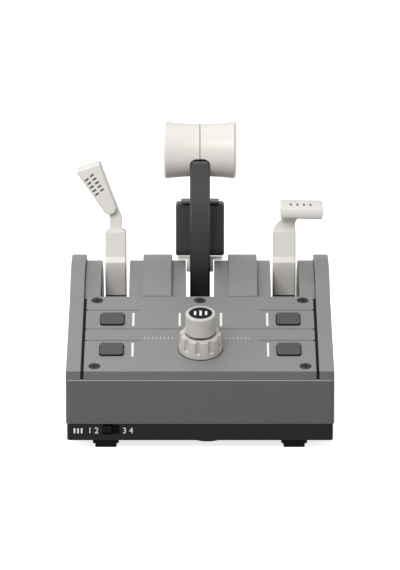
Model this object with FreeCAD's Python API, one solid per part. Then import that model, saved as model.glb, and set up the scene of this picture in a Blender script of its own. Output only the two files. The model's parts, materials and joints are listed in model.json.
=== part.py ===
"""Desk throttle quadrant: a grey case, three pivoting levers and a sloped control panel.

Frame: +X to the right, +Y away from the pilot, +Z up, millimetres.
Origin: under the middle of the body, on the plane the rubber feet stand on.
Shapes are drawn from a datum plane DATUM_H above that plane, and lifted by save().
"""
import FreeCAD, Part
import math
import os

os.makedirs("parts", exist_ok=True)

V = FreeCAD.Vector

# ---- case -------------------------------------------------------------------
CASE_HALF_W = 90.0
CASE_HALF_D = 105.5
DATUM_H = 2.0
FOOT_H = 3.6
FOOT_HALF = 8.7
FOOT_PAD_HALF = 7.15
FOOT_CORNER_R = 1.6
FOOT_PIN_R = 3.0
FOOT_STEP_Z = 1.0
FOOT_INSET_X = 26.7
FOOT_INSET_Y = 11.2
POST_INSET_X = 10.0
POST_INSET_Y = 13.5
TRAY_TOP = 15.0
FRONT_TOP = 45.0
WALL = 2.5
TRAY_INSET = 0.7
EDGE_R = 3.0
TRAY_FLOOR_TOP = FOOT_H + WALL
MOUNT_X = 5.0
MOUNT_Y = -CASE_HALF_D + 15.5
BOSS_R = 9.0
BOSS_DROP = 2.2

# ---- sloped panel -----------------------------------------------------------
BEVEL_RISE = 5.0
BEVEL_RUN = 4.3
PANEL_TILT = 19.0
PANEL_LEN = 100.0
PANEL_THICK = 3.0
RAIL_W = 10.0
RAIL_IN_X = CASE_HALF_W - RAIL_W
PANEL_SLIT = 2.0
PANEL_HALF_W = RAIL_IN_X - PANEL_SLIT
SCORE_W = 0.9
SCORE_D = 0.7
SCORE_INNER_X = 40.6
SCORE_ROWS = (81.4, 40.8)
SCORE_FULL_ROW = 55.9
LEDGE_TOP_V = PANEL_LEN - 11.0
LEDGE_BOTTOM_V = 12.0
LEDGE_DEPTH = 6.0

# ---- drum over the levers -----------------------------------------------------
DRUM_R = 76.0
RAISED_H = 4.2
PIVOT_Z = 21.03
DRUM_SKIN = 2.5
LANE_INSET = 31.0
LANE_X = CASE_HALF_W - LANE_INSET
SIDE_SLOT_W = 19.6
MID_SLOT_W = 20.0
REAR_TOP = 62.0
RAISED_X0 = 19.7
RAISED_X1 = 39.8
LINER_T = 1.6
LINER_BOTTOM = 48.0
LINER_FRONT = 6.0
LINER_TIE_AT = 0.72
SLOT_SILL = 50.0
ABOVE = 200.0

# ---- fits -----------------------------------------------------------------------
AXLE_R = 4.0
RUN_FIT = 0.05
END_BUTTON_GAP = 0.4
CLEAR = 0.3

# ---- levers ---------------------------------------------------------------------
HUB_R = 11.0
HUB_HALF_W = 9.0
SPEED_STEM_W = 14.8
FLAP_STEM_W = 16.0
SHOULDER_Z = 121.0
ARM_W = 14.0
ARM_TOP = 174.0
ARM_TIP_R = 4.6
GRIP_LEN = 50.0
GRIP_END_R = 20.0
GRIP_MID_R = 18.4
GRIP_Z = 177.7
GRIP_SHELL = 3.0
SEAM_W = 0.35
SEAM_D = 0.4
BUTTON_END_R = 7.0
MAGNET_T = 1.5
DETENT_R = 22.0
DETENT_X = LANE_X - 16.0
DETENT_T = 2.5
DETENTS = 9

# ---- reverser -------------------------------------------------------------------
REV_PIN_R = 1.5
REV_HALF_W = 17.0
REV_DEPTH = 14.0
REV_DRUM_GAP = 3.07
REV_HEIGHT = 37.8
REV_WEB_W = 6.0
REV_EYE_R = 3.8

# ---- panel controls -------------------------------------------------------------
BUTTON_W = 15.8
BUTTON_L = 15.4
BUTTON_R = 2.0
BUTTON_GAP = 0.55
BUTTON_PROUD = 1.4
BUTTON_TRAVEL = 0.8
BUTTONS = {"button_upper_left": (-LANE_X - 0.9, 68.6), "button_upper_right": (LANE_X + 1.3, 68.6),
           "button_lower_left": (-LANE_X - 0.7, 28.2), "button_lower_right": (LANE_X + 1.1, 28.2)}
KNOB_X = 0.4
KNOB_V = 29.0
RING_R = 14.7
RING_TOP_R = 13.8
RING_TOP = 13.0
RING_WELL_R = 10.4
RING_FLUTES = 10
FLUTE_R = 1.9
KNOB_R = 10.2
KNOB_BOTTOM = 14.0
KNOB_TOP = 28.6
CAP_R = 7.9
SHAFT_R = 2.5
BUSH_R = 3.5
SCREW_X = PANEL_HALF_W - 7.1
SCREW_TOP_V = PANEL_LEN - 5.2
SCREW_LOW_V = 7.1
PANEL_SCREWS = ((-SCREW_X, SCREW_TOP_V), (0.0, SCREW_TOP_V), (SCREW_X, SCREW_TOP_V),
                (-SCREW_X, SCREW_LOW_V), (SCREW_X, SCREW_LOW_V))
SCREW_HEAD_R = 3.9
SCREW_HEAD_T = 2.0
SCREW_SHAFT_R = 1.4
BOARD_TOP_W = -8.0
BOARD_T = 1.6
BOARD_HALF_W = PANEL_HALF_W - 8.0
BOARD_TOP_V = LEDGE_TOP_V - 5.0

# ---- engine switch and ports ------------------------------------------------------
SWITCH_X = -LANE_X - 0.7
SWITCH_W = 11.6
SWITCH_Z0 = 7.4
SWITCH_Z1 = 14.4
SLIDER_W = 5.4
SLIDER_TRAVEL = 5.2
PORT_BOARD_Z = TRAY_TOP + 3.0
SOCKET_X = 22.0
SOCKET_W = 14.0
SOCKET_H = 13.0
USB_W = 12.0
USB_H = 11.0
PORT_DEPTH = 15.0

# ---- derived --------------------------------------------------------------------
TILT = math.radians(PANEL_TILT)
BEVEL_Y = -CASE_HALF_D + BEVEL_RUN
BEVEL_Z = FRONT_TOP + BEVEL_RISE
PANEL_END_Y = BEVEL_Y + PANEL_LEN * math.cos(TILT)
PANEL_END_Z = BEVEL_Z + PANEL_LEN * math.sin(TILT)
RAISED_R = DRUM_R + RAISED_H
PIVOT_Y = PANEL_END_Y + math.sqrt(RAISED_R ** 2 - (PANEL_END_Z - PIVOT_Z) ** 2)
GRIP_Y = PIVOT_Y - 5.8
REV_PIN_Y = PIVOT_Y - 16.8
REV_Y0 = REV_PIN_Y + 20.0
REV_Y1 = REV_Y0 + REV_DEPTH
REV_Z0 = PIVOT_Z + DRUM_R + REV_DRUM_GAP
REV_Z1 = REV_Z0 + REV_HEIGHT
REV_PIN_Z = REV_Z1 - 5.9
TAB_Z = REV_Z1 + 2.5
SLOTS = ((-LANE_X, SIDE_SLOT_W), (0.0, MID_SLOT_W), (LANE_X, SIDE_SLOT_W))
UPRIGHT_T = 2.5
FRAME_HALF_W = LANE_X + 19.0
UPRIGHTS = (1.0 - FRAME_HALF_W, -33.5, 31.0, FRAME_HALF_W - UPRIGHT_T - 1.0)
CLIP_X = (-FRAME_HALF_W - 1.5, FRAME_HALF_W + 0.3)
AXLE_HALF = FRAME_HALF_W + 2.5


def box(x0, x1, y0, y1, z0, z1):
    """Return a block between two corners."""
    return Part.makeBox(x1 - x0, y1 - y0, z1 - z0, V(x0, y0, z0))


def cyl_x(r, x0, x1, y=PIVOT_Y, z=PIVOT_Z):
    """Return a cylinder along X."""
    return Part.makeCylinder(r, x1 - x0, V(x0, y, z), V(1, 0, 0))


def cyl_z(r, x, y, z0, z1):
    """Return a cylinder along Z."""
    return Part.makeCylinder(r, z1 - z0, V(x, y, z0), V(0, 0, 1))


def tube_x(r_out, r_in, x0, x1, y=PIVOT_Y, z=PIVOT_Z):
    """Return a tube along X."""
    return cyl_x(r_out, x0, x1, y, z).cut(cyl_x(r_in, x0, x1, y, z))


def prism_yz(points, x0, x1):
    """Return a side profile in the YZ plane, extruded from x0 to x1."""
    ring = [V(x0, y, z) for y, z in points]
    face = Part.Face(Part.makePolygon(ring + [ring[0]]))
    return face.extrude(V(x1 - x0, 0, 0))


def prism_xz(points, y0, y1):
    """Return a front profile in the XZ plane, extruded from y0 to y1."""
    ring = [V(x, y0, z) for x, z in points]
    face = Part.Face(Part.makePolygon(ring + [ring[0]]))
    return face.extrude(V(0, y1 - y0, 0))


def aft(points):
    """Turn y values measured from the axle into y values of the frame."""
    return [(PIVOT_Y + y, z) for y, z in points]


def fuse(shapes):
    """Return one clean solid made of several."""
    whole = shapes[0]
    for shape in shapes[1:]:
        whole = whole.fuse(shape)
    return whole.removeSplitter()


def on_panel(shape):
    """Turn a shape drawn in the panel's frame (x, along the slope, out of it) into place."""
    placed = shape.copy()
    placed.rotate(V(0, 0, 0), V(1, 0, 0), PANEL_TILT)
    placed.translate(V(0, BEVEL_Y, BEVEL_Z))
    return placed


def edges_along(shape, axis, keep):
    """Return the straight edges along an axis whose middle point passes a test."""
    found = []
    for edge in shape.Edges:
        if len(edge.Vertexes) != 2:
            continue
        run = edge.Vertexes[1].Point - edge.Vertexes[0].Point
        if run.Length > 0.01 and abs(run.normalize().dot(axis)) > 0.999:
            if keep(edge.CenterOfMass):
                found.append(edge)
    return found


def rounded_box(x0, x1, y0, y1, z0, z1, r, axis=V(0, 0, 1)):
    """Return a block with its edges along one axis rounded."""
    block = box(x0, x1, y0, y1, z0, z1)
    return block.makeFillet(r, edges_along(block, axis, lambda p: True))


def save(name, shape):
    """Lift a node from the drawing datum to the desk and write it."""
    lifted = shape.copy()
    lifted.translate(V(0, 0, DATUM_H))
    lifted.exportStep("parts/%s.step" % name)


# ---- case -------------------------------------------------------------------


def foot_centres():
    """Return the four foot positions."""
    x = CASE_HALF_W - FOOT_INSET_X
    y = CASE_HALF_D - FOOT_INSET_Y
    return [(sx * x, sy * y) for sx in (-1, 1) for sy in (-1, 1)]


def post_centres():
    """Return the four corner posts the base screws go into."""
    x = CASE_HALF_W - POST_INSET_X
    y = CASE_HALF_D - POST_INSET_Y
    return [(sx * x, sy * y) for sx in (-1, 1) for sy in (-1, 1)]


def foot_block(x, y, half, z0, z1):
    """Return one step of a foot."""
    return rounded_box(x - half, x + half, y - half, y + half, z0, z1, FOOT_CORNER_R)


def rubber_feet():
    """Stepped rubber feet pressed into pockets under the tray."""
    feet = []
    for x, y in foot_centres():
        pad = foot_block(x, y, FOOT_PAD_HALF, -DATUM_H, FOOT_STEP_Z)
        pad = pad.makeFillet(0.5, [e for e in pad.Edges if e.CenterOfMass.z < 0.1 - DATUM_H])
        feet.append(fuse([pad, foot_block(x, y, FOOT_HALF, FOOT_STEP_Z, FOOT_H),
                          cyl_z(FOOT_PIN_R, x, y, FOOT_H, FOOT_H + 1.5)]))
    return Part.makeCompound(feet)


def base_tray():
    """Black tray the whole case stands on, with the switch window and the mount boss."""
    half_w = CASE_HALF_W - TRAY_INSET
    half_d = CASE_HALF_D - TRAY_INSET
    tray = rounded_box(-half_w, half_w, -half_d, half_d, FOOT_H, TRAY_TOP, EDGE_R)
    tray = tray.cut(rounded_box(-half_w + WALL, half_w - WALL, -half_d + WALL, half_d - WALL,
                                TRAY_FLOOR_TOP, TRAY_TOP, 1.0))
    tray = fuse([tray, cyl_z(BOSS_R, MOUNT_X, MOUNT_Y, FOOT_H - BOSS_DROP, TRAY_FLOOR_TOP + 5.0)])
    for x, y in standoffs():
        tray = tray.fuse(cyl_z(3.0, x, y, TRAY_FLOOR_TOP, 14.0))
    tray = tray.cut(cyl_z(2.5, MOUNT_X, MOUNT_Y, FOOT_H - BOSS_DROP, TRAY_FLOOR_TOP + 3.0))
    for x, y in foot_centres():
        tray = tray.cut(cyl_z(FOOT_PIN_R, x, y, FOOT_H, FOOT_H + 1.5))
    for x, y in post_centres():
        tray = tray.cut(cyl_z(1.6, x, y, FOOT_H, TRAY_FLOOR_TOP))
        tray = tray.cut(cyl_z(3.4, x, y, FOOT_H, FOOT_H + 1.2))
    half = SWITCH_W / 2.0
    window = box(SWITCH_X - half, SWITCH_X + half, -half_d, -half_d + WALL, SWITCH_Z0, SWITCH_Z1)
    tray = tray.cut(window)
    for x in (-72.0, 72.0):
        for i in range(8):
            y = 20.0 + 5.0 * i
            tray = tray.cut(box(x - 6.0, x + 6.0, y, y + 2.0, FOOT_H, TRAY_FLOOR_TOP))
    return tray.removeSplitter()


def standoffs():
    """Return the pillars under the main board."""
    return [(sx * 64.0, MOUNT_Y + dy) for sx in (-1, 1) for dy in (10.0, 62.0)]


def base_screws():
    """Screws that hold the tray to the corner posts."""
    screws = []
    for x, y in post_centres():
        screw = fuse([cyl_z(3.2, x, y, FOOT_H + 0.1, FOOT_H + 1.2), cyl_z(1.4, x, y, FOOT_H + 1.2, 24.0)])
        for turn in (0.0, 90.0):
            cut = box(x - 1.8, x + 1.8, y - 0.4, y + 0.4, FOOT_H + 0.1, FOOT_H + 0.9)
            cut.rotate(V(x, y, 0), V(0, 0, 1), turn)
            screw = screw.cut(cut)
        screws.append(screw)
    return Part.makeCompound(screws)


def lower_case():
    """Grey frame: bare front face, side walls and rear wall with the port windows."""
    case = rounded_box(-CASE_HALF_W, CASE_HALF_W, -CASE_HALF_D, CASE_HALF_D, TRAY_TOP, FRONT_TOP, EDGE_R)
    inner_w = CASE_HALF_W - WALL
    inner_d = CASE_HALF_D - WALL
    case = case.cut(box(-inner_w, inner_w, -inner_d, inner_d, TRAY_TOP, FRONT_TOP))
    for x, y in post_centres():
        reach_x = math.copysign(CASE_HALF_W - WALL, x)
        block = box(min(x, reach_x), max(x, reach_x), y - 3.0, y + 3.0, TRAY_TOP, 27.0)
        case = case.fuse(cyl_z(3.6, x, y, TRAY_FLOOR_TOP, 27.0)).fuse(block)
    ledge = on_panel(box(-RAIL_IN_X, RAIL_IN_X, 3.0, LEDGE_BOTTOM_V,
                         -PANEL_THICK - LEDGE_DEPTH, -PANEL_THICK))
    shelf = box(-RAIL_IN_X, RAIL_IN_X, -inner_d, -inner_d + 11.0, FRONT_TOP - 6.0, FRONT_TOP)
    case = fuse([case, ledge.fuse(shelf)])
    case = case.cut(panel_profile(-RAIL_IN_X - 1.0, RAIL_IN_X + 1.0))
    for x, v in PANEL_SCREWS:
        if v < LEDGE_BOTTOM_V:
            case = case.cut(on_panel(cyl_z(SCREW_SHAFT_R, x, v, -20.0, 0.0)))
    for x, y in post_centres():
        case = case.cut(cyl_z(1.4, x, y, TRAY_FLOOR_TOP, 24.0))
    return case.cut(port_windows()).removeSplitter()


def port_windows():
    """Return the holes the sockets look out through."""
    y0 = CASE_HALF_D - WALL - 0.5
    y1 = CASE_HALF_D + 1.0
    holes = []
    for x, w, h in ports():
        holes.append(box(x - w / 2.0 - CLEAR, x + w / 2.0 + CLEAR, y0, y1,
                         PORT_BOARD_Z - CLEAR, PORT_BOARD_Z + h + CLEAR))
    return holes[0].fuse(holes[1]).fuse(holes[2])


def ports():
    """Return each socket's centre, width and height."""
    return ((-SOCKET_X, SOCKET_W, SOCKET_H), (0.0, USB_W, USB_H), (SOCKET_X, SOCKET_W, SOCKET_H))


def panel_profile(x0, x1):
    """Return the bevel and sloped plate as one bent sheet."""
    nx = -BEVEL_RISE / math.hypot(BEVEL_RISE, BEVEL_RUN)
    foot_in = -CASE_HALF_D - PANEL_THICK / nx
    sin_t = math.sin(TILT)
    cos_t = math.cos(TILT)
    slope_y = BEVEL_Y + PANEL_THICK * sin_t
    slope_z = BEVEL_Z - PANEL_THICK * cos_t
    ratio = math.tan(TILT)
    t = (slope_z - FRONT_TOP + ratio * (foot_in - slope_y)) / (BEVEL_RISE - ratio * BEVEL_RUN)
    bend = (foot_in + BEVEL_RUN * t, FRONT_TOP + BEVEL_RISE * t)
    end_in = (PANEL_END_Y + PANEL_THICK * sin_t, PANEL_END_Z - PANEL_THICK * cos_t)
    outline = [(-CASE_HALF_D, FRONT_TOP), (foot_in, FRONT_TOP), bend, end_in,
               (PANEL_END_Y, PANEL_END_Z), (BEVEL_Y, BEVEL_Z)]
    return prism_yz(outline, x0, x1)


def cover_body(x0, x1, inset):
    """Return the side silhouette above the front face, pulled in by an inset."""
    drop = inset / math.cos(TILT)
    y0 = -CASE_HALF_D + inset * 1.3
    outline = [(y0, FRONT_TOP), (BEVEL_Y + inset * 0.6, BEVEL_Z - drop),
               (PANEL_END_Y, PANEL_END_Z - drop), (PIVOT_Y, PANEL_END_Z - drop), (PIVOT_Y, FRONT_TOP)]
    wedge = prism_yz(outline, x0, x1)
    arch = cyl_x(RAISED_R - inset, x0, x1)
    keep = box(x0, x1, PANEL_END_Y - 25.0, CASE_HALF_D - inset, FRONT_TOP, ABOVE)
    rear = box(x0, x1, PIVOT_Y, CASE_HALF_D - inset, FRONT_TOP, REAR_TOP - inset)
    return fuse([wedge, arch.common(keep), rear])


def side_cover(side):
    """Outer cheek with its raised rail over the drum."""
    outer = cover_body(RAIL_IN_X, CASE_HALF_W, 0.0)
    inner = cover_body(RAIL_IN_X + 2.0, CASE_HALF_W - WALL, WALL)
    cheek = outer.cut(inner)
    if side < 0:
        cheek = cheek.mirror(V(0, 0, 0), V(1, 0, 0))
    return cheek


def behind_panel(shape, gap):
    """Cut away whatever stands in front of the panel's top edge."""
    front = box(-CASE_HALF_W, CASE_HALF_W, -60.0, PANEL_LEN + gap, -120.0, 60.0)
    return shape.cut(on_panel(front))


def drum_cover():
    """Arched cover in four strips, tied by a rib under the panel and by the rear wall."""
    half = RAIL_IN_X - 0.4
    skin = tube_x(DRUM_R, DRUM_R - DRUM_SKIN, -half, half)
    inner_d = CASE_HALF_D - WALL
    skin = skin.common(box(-half, half, PANEL_END_Y - 10.0, CASE_HALF_D, FRONT_TOP, ABOVE))
    skin = behind_panel(skin, 0.0)
    rear = box(-half, half, inner_d, CASE_HALF_D, FRONT_TOP, ABOVE).common(cyl_x(DRUM_R, -half, half))
    for x, w in SLOTS:
        slot = box(x - w / 2.0, x + w / 2.0, PANEL_END_Y - 20.0, CASE_HALF_D + 1.0, SLOT_SILL, ABOVE)
        skin = skin.cut(slot)
        rear = rear.cut(slot)
    rib = on_panel(box(-half, half, LEDGE_TOP_V, PANEL_LEN + 2.5,
                       -PANEL_THICK - LEDGE_DEPTH, -PANEL_THICK))
    for x, v in PANEL_SCREWS:
        if v > LEDGE_TOP_V:
            rib = rib.cut(on_panel(cyl_z(SCREW_SHAFT_R, x, v, -20.0, 0.0)))
    return fuse([skin, rear, rib]).cut(raised_strip(-1)).cut(raised_strip(1))


def raised_strip(side):
    """Scale strip standing proud of the drum beside the middle slot."""
    x0 = RAISED_X0 if side > 0 else -RAISED_X1
    x1 = RAISED_X1 if side > 0 else -RAISED_X0
    arc = tube_x(RAISED_R, DRUM_R, x0, x1)
    arc = arc.common(box(x0, x1, PANEL_END_Y - 10.0, CASE_HALF_D, FRONT_TOP + 12.0, ABOVE))
    return behind_panel(arc, 0.7)


def slot_liner(x, w):
    """Pair of black cheeks under one slot, tied together low at both ends."""
    disc = cyl_x(DRUM_R - DRUM_SKIN, x - w / 2.0 - LINER_T, x + w / 2.0 + LINER_T)
    inner_d = CASE_HALF_D - WALL
    zone = box(x - w, x + w, PANEL_END_Y + LINER_FRONT, inner_d, LINER_BOTTOM, ABOVE)
    liner = disc.common(zone)
    hollow = box(x - w / 2.0, x + w / 2.0, PANEL_END_Y, inner_d + 1.0, LINER_BOTTOM, ABOVE)
    ties = [box(x - w / 2.0, x + w / 2.0, y, y + 4.0, SLOT_SILL - 2.0, SLOT_SILL + 2.0)
            for y in (PANEL_END_Y + LINER_FRONT, PIVOT_Y + LINER_TIE_AT * (inner_d - PIVOT_Y))]
    return fuse([liner.cut(hollow)] + ties)


def front_panel():
    """Bevelled, scored panel with windows for the controls."""
    panel = panel_profile(-PANEL_HALF_W, PANEL_HALF_W)
    cuts = []
    for v in SCORE_ROWS:
        for side in (-1, 1):
            x0 = min(side * SCORE_INNER_X, side * PANEL_HALF_W)
            cuts.append(box(x0, x0 + PANEL_HALF_W - SCORE_INNER_X, v - SCORE_W / 2, v + SCORE_W / 2,
                            -SCORE_D, 1.0))
    cuts.append(box(-PANEL_HALF_W, PANEL_HALF_W, SCORE_FULL_ROW - SCORE_W / 2,
                    SCORE_FULL_ROW + SCORE_W / 2, -SCORE_D, 1.0))
    for v in SCORE_ROWS + (SCORE_FULL_ROW,):
        for side in (-1, 1):
            cuts.append(cyl_z(1.3, side * PANEL_HALF_W, v, -PANEL_THICK - 1.0, 1.0))
    for x, v in BUTTONS.values():
        cuts.append(button_block(x, v, BUTTON_GAP, -PANEL_THICK - 1.0, 1.0))
    for x, v in PANEL_SCREWS:
        cuts.append(cyl_z(SCREW_HEAD_R + 0.15, x, v, -SCREW_HEAD_T - 0.1, 1.0))
        cuts.append(cyl_z(SCREW_SHAFT_R + 0.1, x, v, -PANEL_THICK - 1.0, 0.0))
    cuts.append(cyl_z(BUSH_R + 0.1, KNOB_X, KNOB_V, -PANEL_THICK - 1.0, 1.0))
    for cut in cuts:
        panel = panel.cut(on_panel(cut))
    return panel.removeSplitter()


def button_block(x, v, grow, w0, w1):
    """Return a rounded button blank in the panel's frame."""
    half_w = BUTTON_W / 2.0 + grow
    half_l = BUTTON_L / 2.0 + grow
    return rounded_box(x - half_w, x + half_w, v - half_l, v + half_l, w0, w1, BUTTON_R + grow)


def cross_recess(x, v, w_top, depth, size):
    """Return the two bars of a cross recess in the panel's frame."""
    one = box(x - size, x + size, v - size / 5.0, v + size / 5.0, w_top - depth, w_top)
    two = box(x - size / 5.0, x + size / 5.0, v - size, v + size, w_top - depth, w_top)
    return one.fuse(two)


def panel_screws():
    """Black cross-head screws in their counterbores."""
    screws = []
    for x, v in PANEL_SCREWS:
        head = cyl_z(SCREW_HEAD_R, x, v, -SCREW_HEAD_T - 0.1, -0.1)
        head = head.makeChamfer(0.5, [e for e in head.Edges if abs(e.CenterOfMass.z + 0.1) < 0.05])
        screw = fuse([head, cyl_z(SCREW_SHAFT_R, x, v, -PANEL_THICK - LEDGE_DEPTH + 0.5, -SCREW_HEAD_T)])
        screws.append(on_panel(screw.cut(cross_recess(x, v, -0.1, 1.2, 2.2))))
    return Part.makeCompound(screws)


def panel_button(name):
    """Push cap held under the panel by its flange."""
    x, v = BUTTONS[name]
    cap = button_block(x, v, 0.0, -PANEL_THICK - 1.6, BUTTON_PROUD)
    cap = cap.makeFillet(0.6, [e for e in cap.Edges if abs(e.CenterOfMass.z - BUTTON_PROUD) < 0.01])
    flange = button_block(x, v, BUTTON_GAP + 0.8, -PANEL_THICK - 1.2, -PANEL_THICK - 0.1)
    return on_panel(fuse([cap, flange]))


def panel_board():
    """Circuit board behind the panel."""
    board = box(-BOARD_HALF_W, BOARD_HALF_W, LEDGE_BOTTOM_V + 3.0, BOARD_TOP_V,
                BOARD_TOP_W - BOARD_T, BOARD_TOP_W)
    return on_panel(board.cut(cyl_z(4.0, KNOB_X, KNOB_V, BOARD_TOP_W - 3.0, 0.0)))


def tact_switches():
    """Small push switch under each panel button."""
    low = BOARD_TOP_W
    high = -PANEL_THICK - 1.6 - BUTTON_TRAVEL - 0.1
    parts = []
    for x, v in BUTTONS.values():
        body = box(x - 3.0, x + 3.0, v - 3.0, v + 3.0, low, high - 0.8)
        parts.append(on_panel(fuse([body, cyl_z(1.7, x, v, high - 0.8, high)])))
    return Part.makeCompound(parts)


def encoder_body():
    """Encoder housing with the bushing the selector turns on."""
    body = box(KNOB_X - 6.5, KNOB_X + 6.5, KNOB_V - 6.5, KNOB_V + 6.5, BOARD_TOP_W, -PANEL_THICK)
    bush = cyl_z(BUSH_R, KNOB_X, KNOB_V, -PANEL_THICK, 11.0)
    bore = cyl_z(SHAFT_R + RUN_FIT, KNOB_X, KNOB_V, BOARD_TOP_W + 1.0, 12.0)
    return on_panel(fuse([body, bush]).cut(bore))


def selector_ring():
    """Fluted outer ring of the selector, with a well under the knob."""
    web_top = RING_TOP - 3.0
    web_low = web_top - 3.0
    bore_r = BUSH_R + RUN_FIT
    profile = [V(bore_r, 0, 0.4), V(bore_r + 3.0, 0, 0.4), V(bore_r + 3.0, 0, web_low),
               V(RING_TOP_R - 3.0, 0, web_low), V(RING_R - 3.0, 0, 0.4), V(RING_R, 0, 0.4),
               V(RING_R, 0, 3.2), V(RING_TOP_R, 0, RING_TOP - 0.8), V(RING_TOP_R - 0.8, 0, RING_TOP),
               V(RING_WELL_R, 0, RING_TOP), V(RING_WELL_R, 0, web_top), V(bore_r, 0, web_top)]
    face = Part.Face(Part.makePolygon(profile + [profile[0]]))
    ring = face.revolve(V(0, 0, 0), V(0, 0, 1), 360.0)
    for i in range(RING_FLUTES):
        turn = math.radians(360.0 * (i + 0.3) / RING_FLUTES)
        x = (RING_TOP_R + 0.5) * math.cos(turn)
        y = (RING_TOP_R + 0.5) * math.sin(turn)
        flute = cyl_z(FLUTE_R, x, y, 3.4, RING_TOP + 1.0)
        ring = ring.cut(flute.makeFillet(FLUTE_R * 0.6, [e for e in flute.Edges if e.CenterOfMass.z < 3.5]))
    ring.translate(V(KNOB_X, KNOB_V, 0))
    return on_panel(ring)


def encoder_knob():
    """Smooth upper knob and its shaft."""
    body = cyl_z(KNOB_R, KNOB_X, KNOB_V, KNOB_BOTTOM, KNOB_TOP)
    body = body.makeFillet(1.4, [e for e in body.Edges if abs(e.CenterOfMass.z - KNOB_TOP) < 0.01])
    body = body.makeFillet(0.9, [e for e in body.Edges if abs(e.CenterOfMass.z - KNOB_BOTTOM) < 0.01])
    body = body.cut(cyl_z(CAP_R + 0.1, KNOB_X, KNOB_V, KNOB_TOP - 3.0, KNOB_TOP + 1.0))
    shaft = cyl_z(SHAFT_R, KNOB_X, KNOB_V, BOARD_TOP_W + 1.5, KNOB_BOTTOM)
    return on_panel(fuse([body, shaft]).cut(cyl_z(1.0, KNOB_X, KNOB_V, KNOB_BOTTOM - 2.0, KNOB_TOP)))


def select_cap():
    """Black push cap in the top of the knob."""
    disc = cyl_z(CAP_R, KNOB_X, KNOB_V, KNOB_TOP - 2.0, KNOB_TOP - 0.3)
    disc = disc.makeFillet(0.3, [e for e in disc.Edges if abs(e.CenterOfMass.z - KNOB_TOP + 0.3) < 0.01])
    return on_panel(fuse([disc, cyl_z(0.9, KNOB_X, KNOB_V, KNOB_BOTTOM, KNOB_TOP - 2.0)]))


# ---- inside -----------------------------------------------------------------


def lever_frame():
    """Steel chassis that carries the axle."""
    y0 = PIVOT_Y - 22.0
    y1 = PIVOT_Y + 22.0
    frame = box(-FRAME_HALF_W, FRAME_HALF_W, y0, y1, TRAY_FLOOR_TOP, TRAY_FLOOR_TOP + 2.0)
    parts = [frame]
    for x in UPRIGHTS:
        parts.append(rounded_box(x, x + UPRIGHT_T, PIVOT_Y - 10.0, PIVOT_Y + 10.0,
                                 TRAY_FLOOR_TOP, PIVOT_Z + 10.0, 4.0, V(1, 0, 0)))
    frame = fuse(parts).cut(cyl_x(AXLE_R, -AXLE_HALF, AXLE_HALF))
    for x, y in frame_screw_centres():
        frame = frame.cut(cyl_z(1.6, x, y, TRAY_FLOOR_TOP, TRAY_FLOOR_TOP + 2.0))
    return frame


def frame_screw_centres():
    """Return the chassis screw positions."""
    half = LANE_X - 9.0
    return [(x, PIVOT_Y + dy) for x in (-half, half) for dy in (-18.0, 18.0)]


def frame_screws():
    """Screws that hold the chassis."""
    top = TRAY_FLOOR_TOP + 2.0
    screws = []
    for x, y in frame_screw_centres():
        screws.append(fuse([cyl_z(1.5, x, y, TRAY_FLOOR_TOP, top), cyl_z(2.8, x, y, top, top + 1.6)]))
    return Part.makeCompound(screws)


def pivot_axle():
    """Steel axle shared by the three levers."""
    axle = cyl_x(AXLE_R, -AXLE_HALF, AXLE_HALF)
    for x in CLIP_X:
        axle = axle.cut(tube_x(AXLE_R + 1.0, AXLE_R - 0.6, x, x + 1.2))
    return axle


def axle_circlips():
    """Clips in the axle's end grooves."""
    clips = []
    for x in CLIP_X:
        clip = tube_x(AXLE_R + 2.5, AXLE_R - 0.6, x + 0.1, x + 1.1)
        clips.append(clip.cut(box(x, x + 1.2, PIVOT_Y - 2.0, PIVOT_Y + 2.0, PIVOT_Z + 1.0, PIVOT_Z + 9.0)))
    return Part.makeCompound(clips)


def lanes():
    """Return each lever's centre and the chassis faces on both sides of it."""
    return ((-LANE_X, UPRIGHTS[0] + UPRIGHT_T, UPRIGHTS[1]), (0.0, UPRIGHTS[1] + UPRIGHT_T, UPRIGHTS[2]),
            (LANE_X, UPRIGHTS[2] + UPRIGHT_T, UPRIGHTS[3]))


def axle_spacers():
    """Spacer tubes between the chassis and the levers."""
    tubes = []
    for x, left, right in lanes():
        tubes.append(tube_x(AXLE_R + 2.0, AXLE_R, left, x - HUB_HALF_W - 1.0))
        tubes.append(tube_x(AXLE_R + 2.0, AXLE_R, x + HUB_HALF_W + 1.0, right))
    return Part.makeCompound(tubes)


def friction_washers():
    """Felt washers that give the levers their drag."""
    discs = []
    for x, _left, _right in lanes():
        discs.append(tube_x(8.0, AXLE_R, x - HUB_HALF_W - 1.0, x - HUB_HALF_W - CLEAR))
        discs.append(tube_x(6.0, AXLE_R, x + HUB_HALF_W + CLEAR, x + HUB_HALF_W + 1.0))
    return Part.makeCompound(discs)


def sensor_boards():
    """Upright boards that read each lever's magnet."""
    boards = []
    for x, _left, _right in lanes():
        side = x + HUB_HALF_W + MAGNET_T + 1.5
        plate = box(side, side + BOARD_T, PIVOT_Y - 9.0, PIVOT_Y + 9.0, TRAY_FLOOR_TOP + 2.0, PIVOT_Z + 12.0)
        plate = plate.cut(cyl_x(AXLE_R + 2.5, side, side + BOARD_T))
        chip = box(side + BOARD_T, side + BOARD_T + 1.2, PIVOT_Y - 2.5, PIVOT_Y + 2.5,
                   PIVOT_Z + 6.8, PIVOT_Z + 10.5)
        boards.append(fuse([plate, chip]))
    return Part.makeCompound(boards)


def hub_magnet(x):
    """Ring magnet on the side of a lever's hub."""
    side = x + HUB_HALF_W
    return tube_x(10.0, AXLE_R + 3.0, side, side + MAGNET_T)


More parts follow.
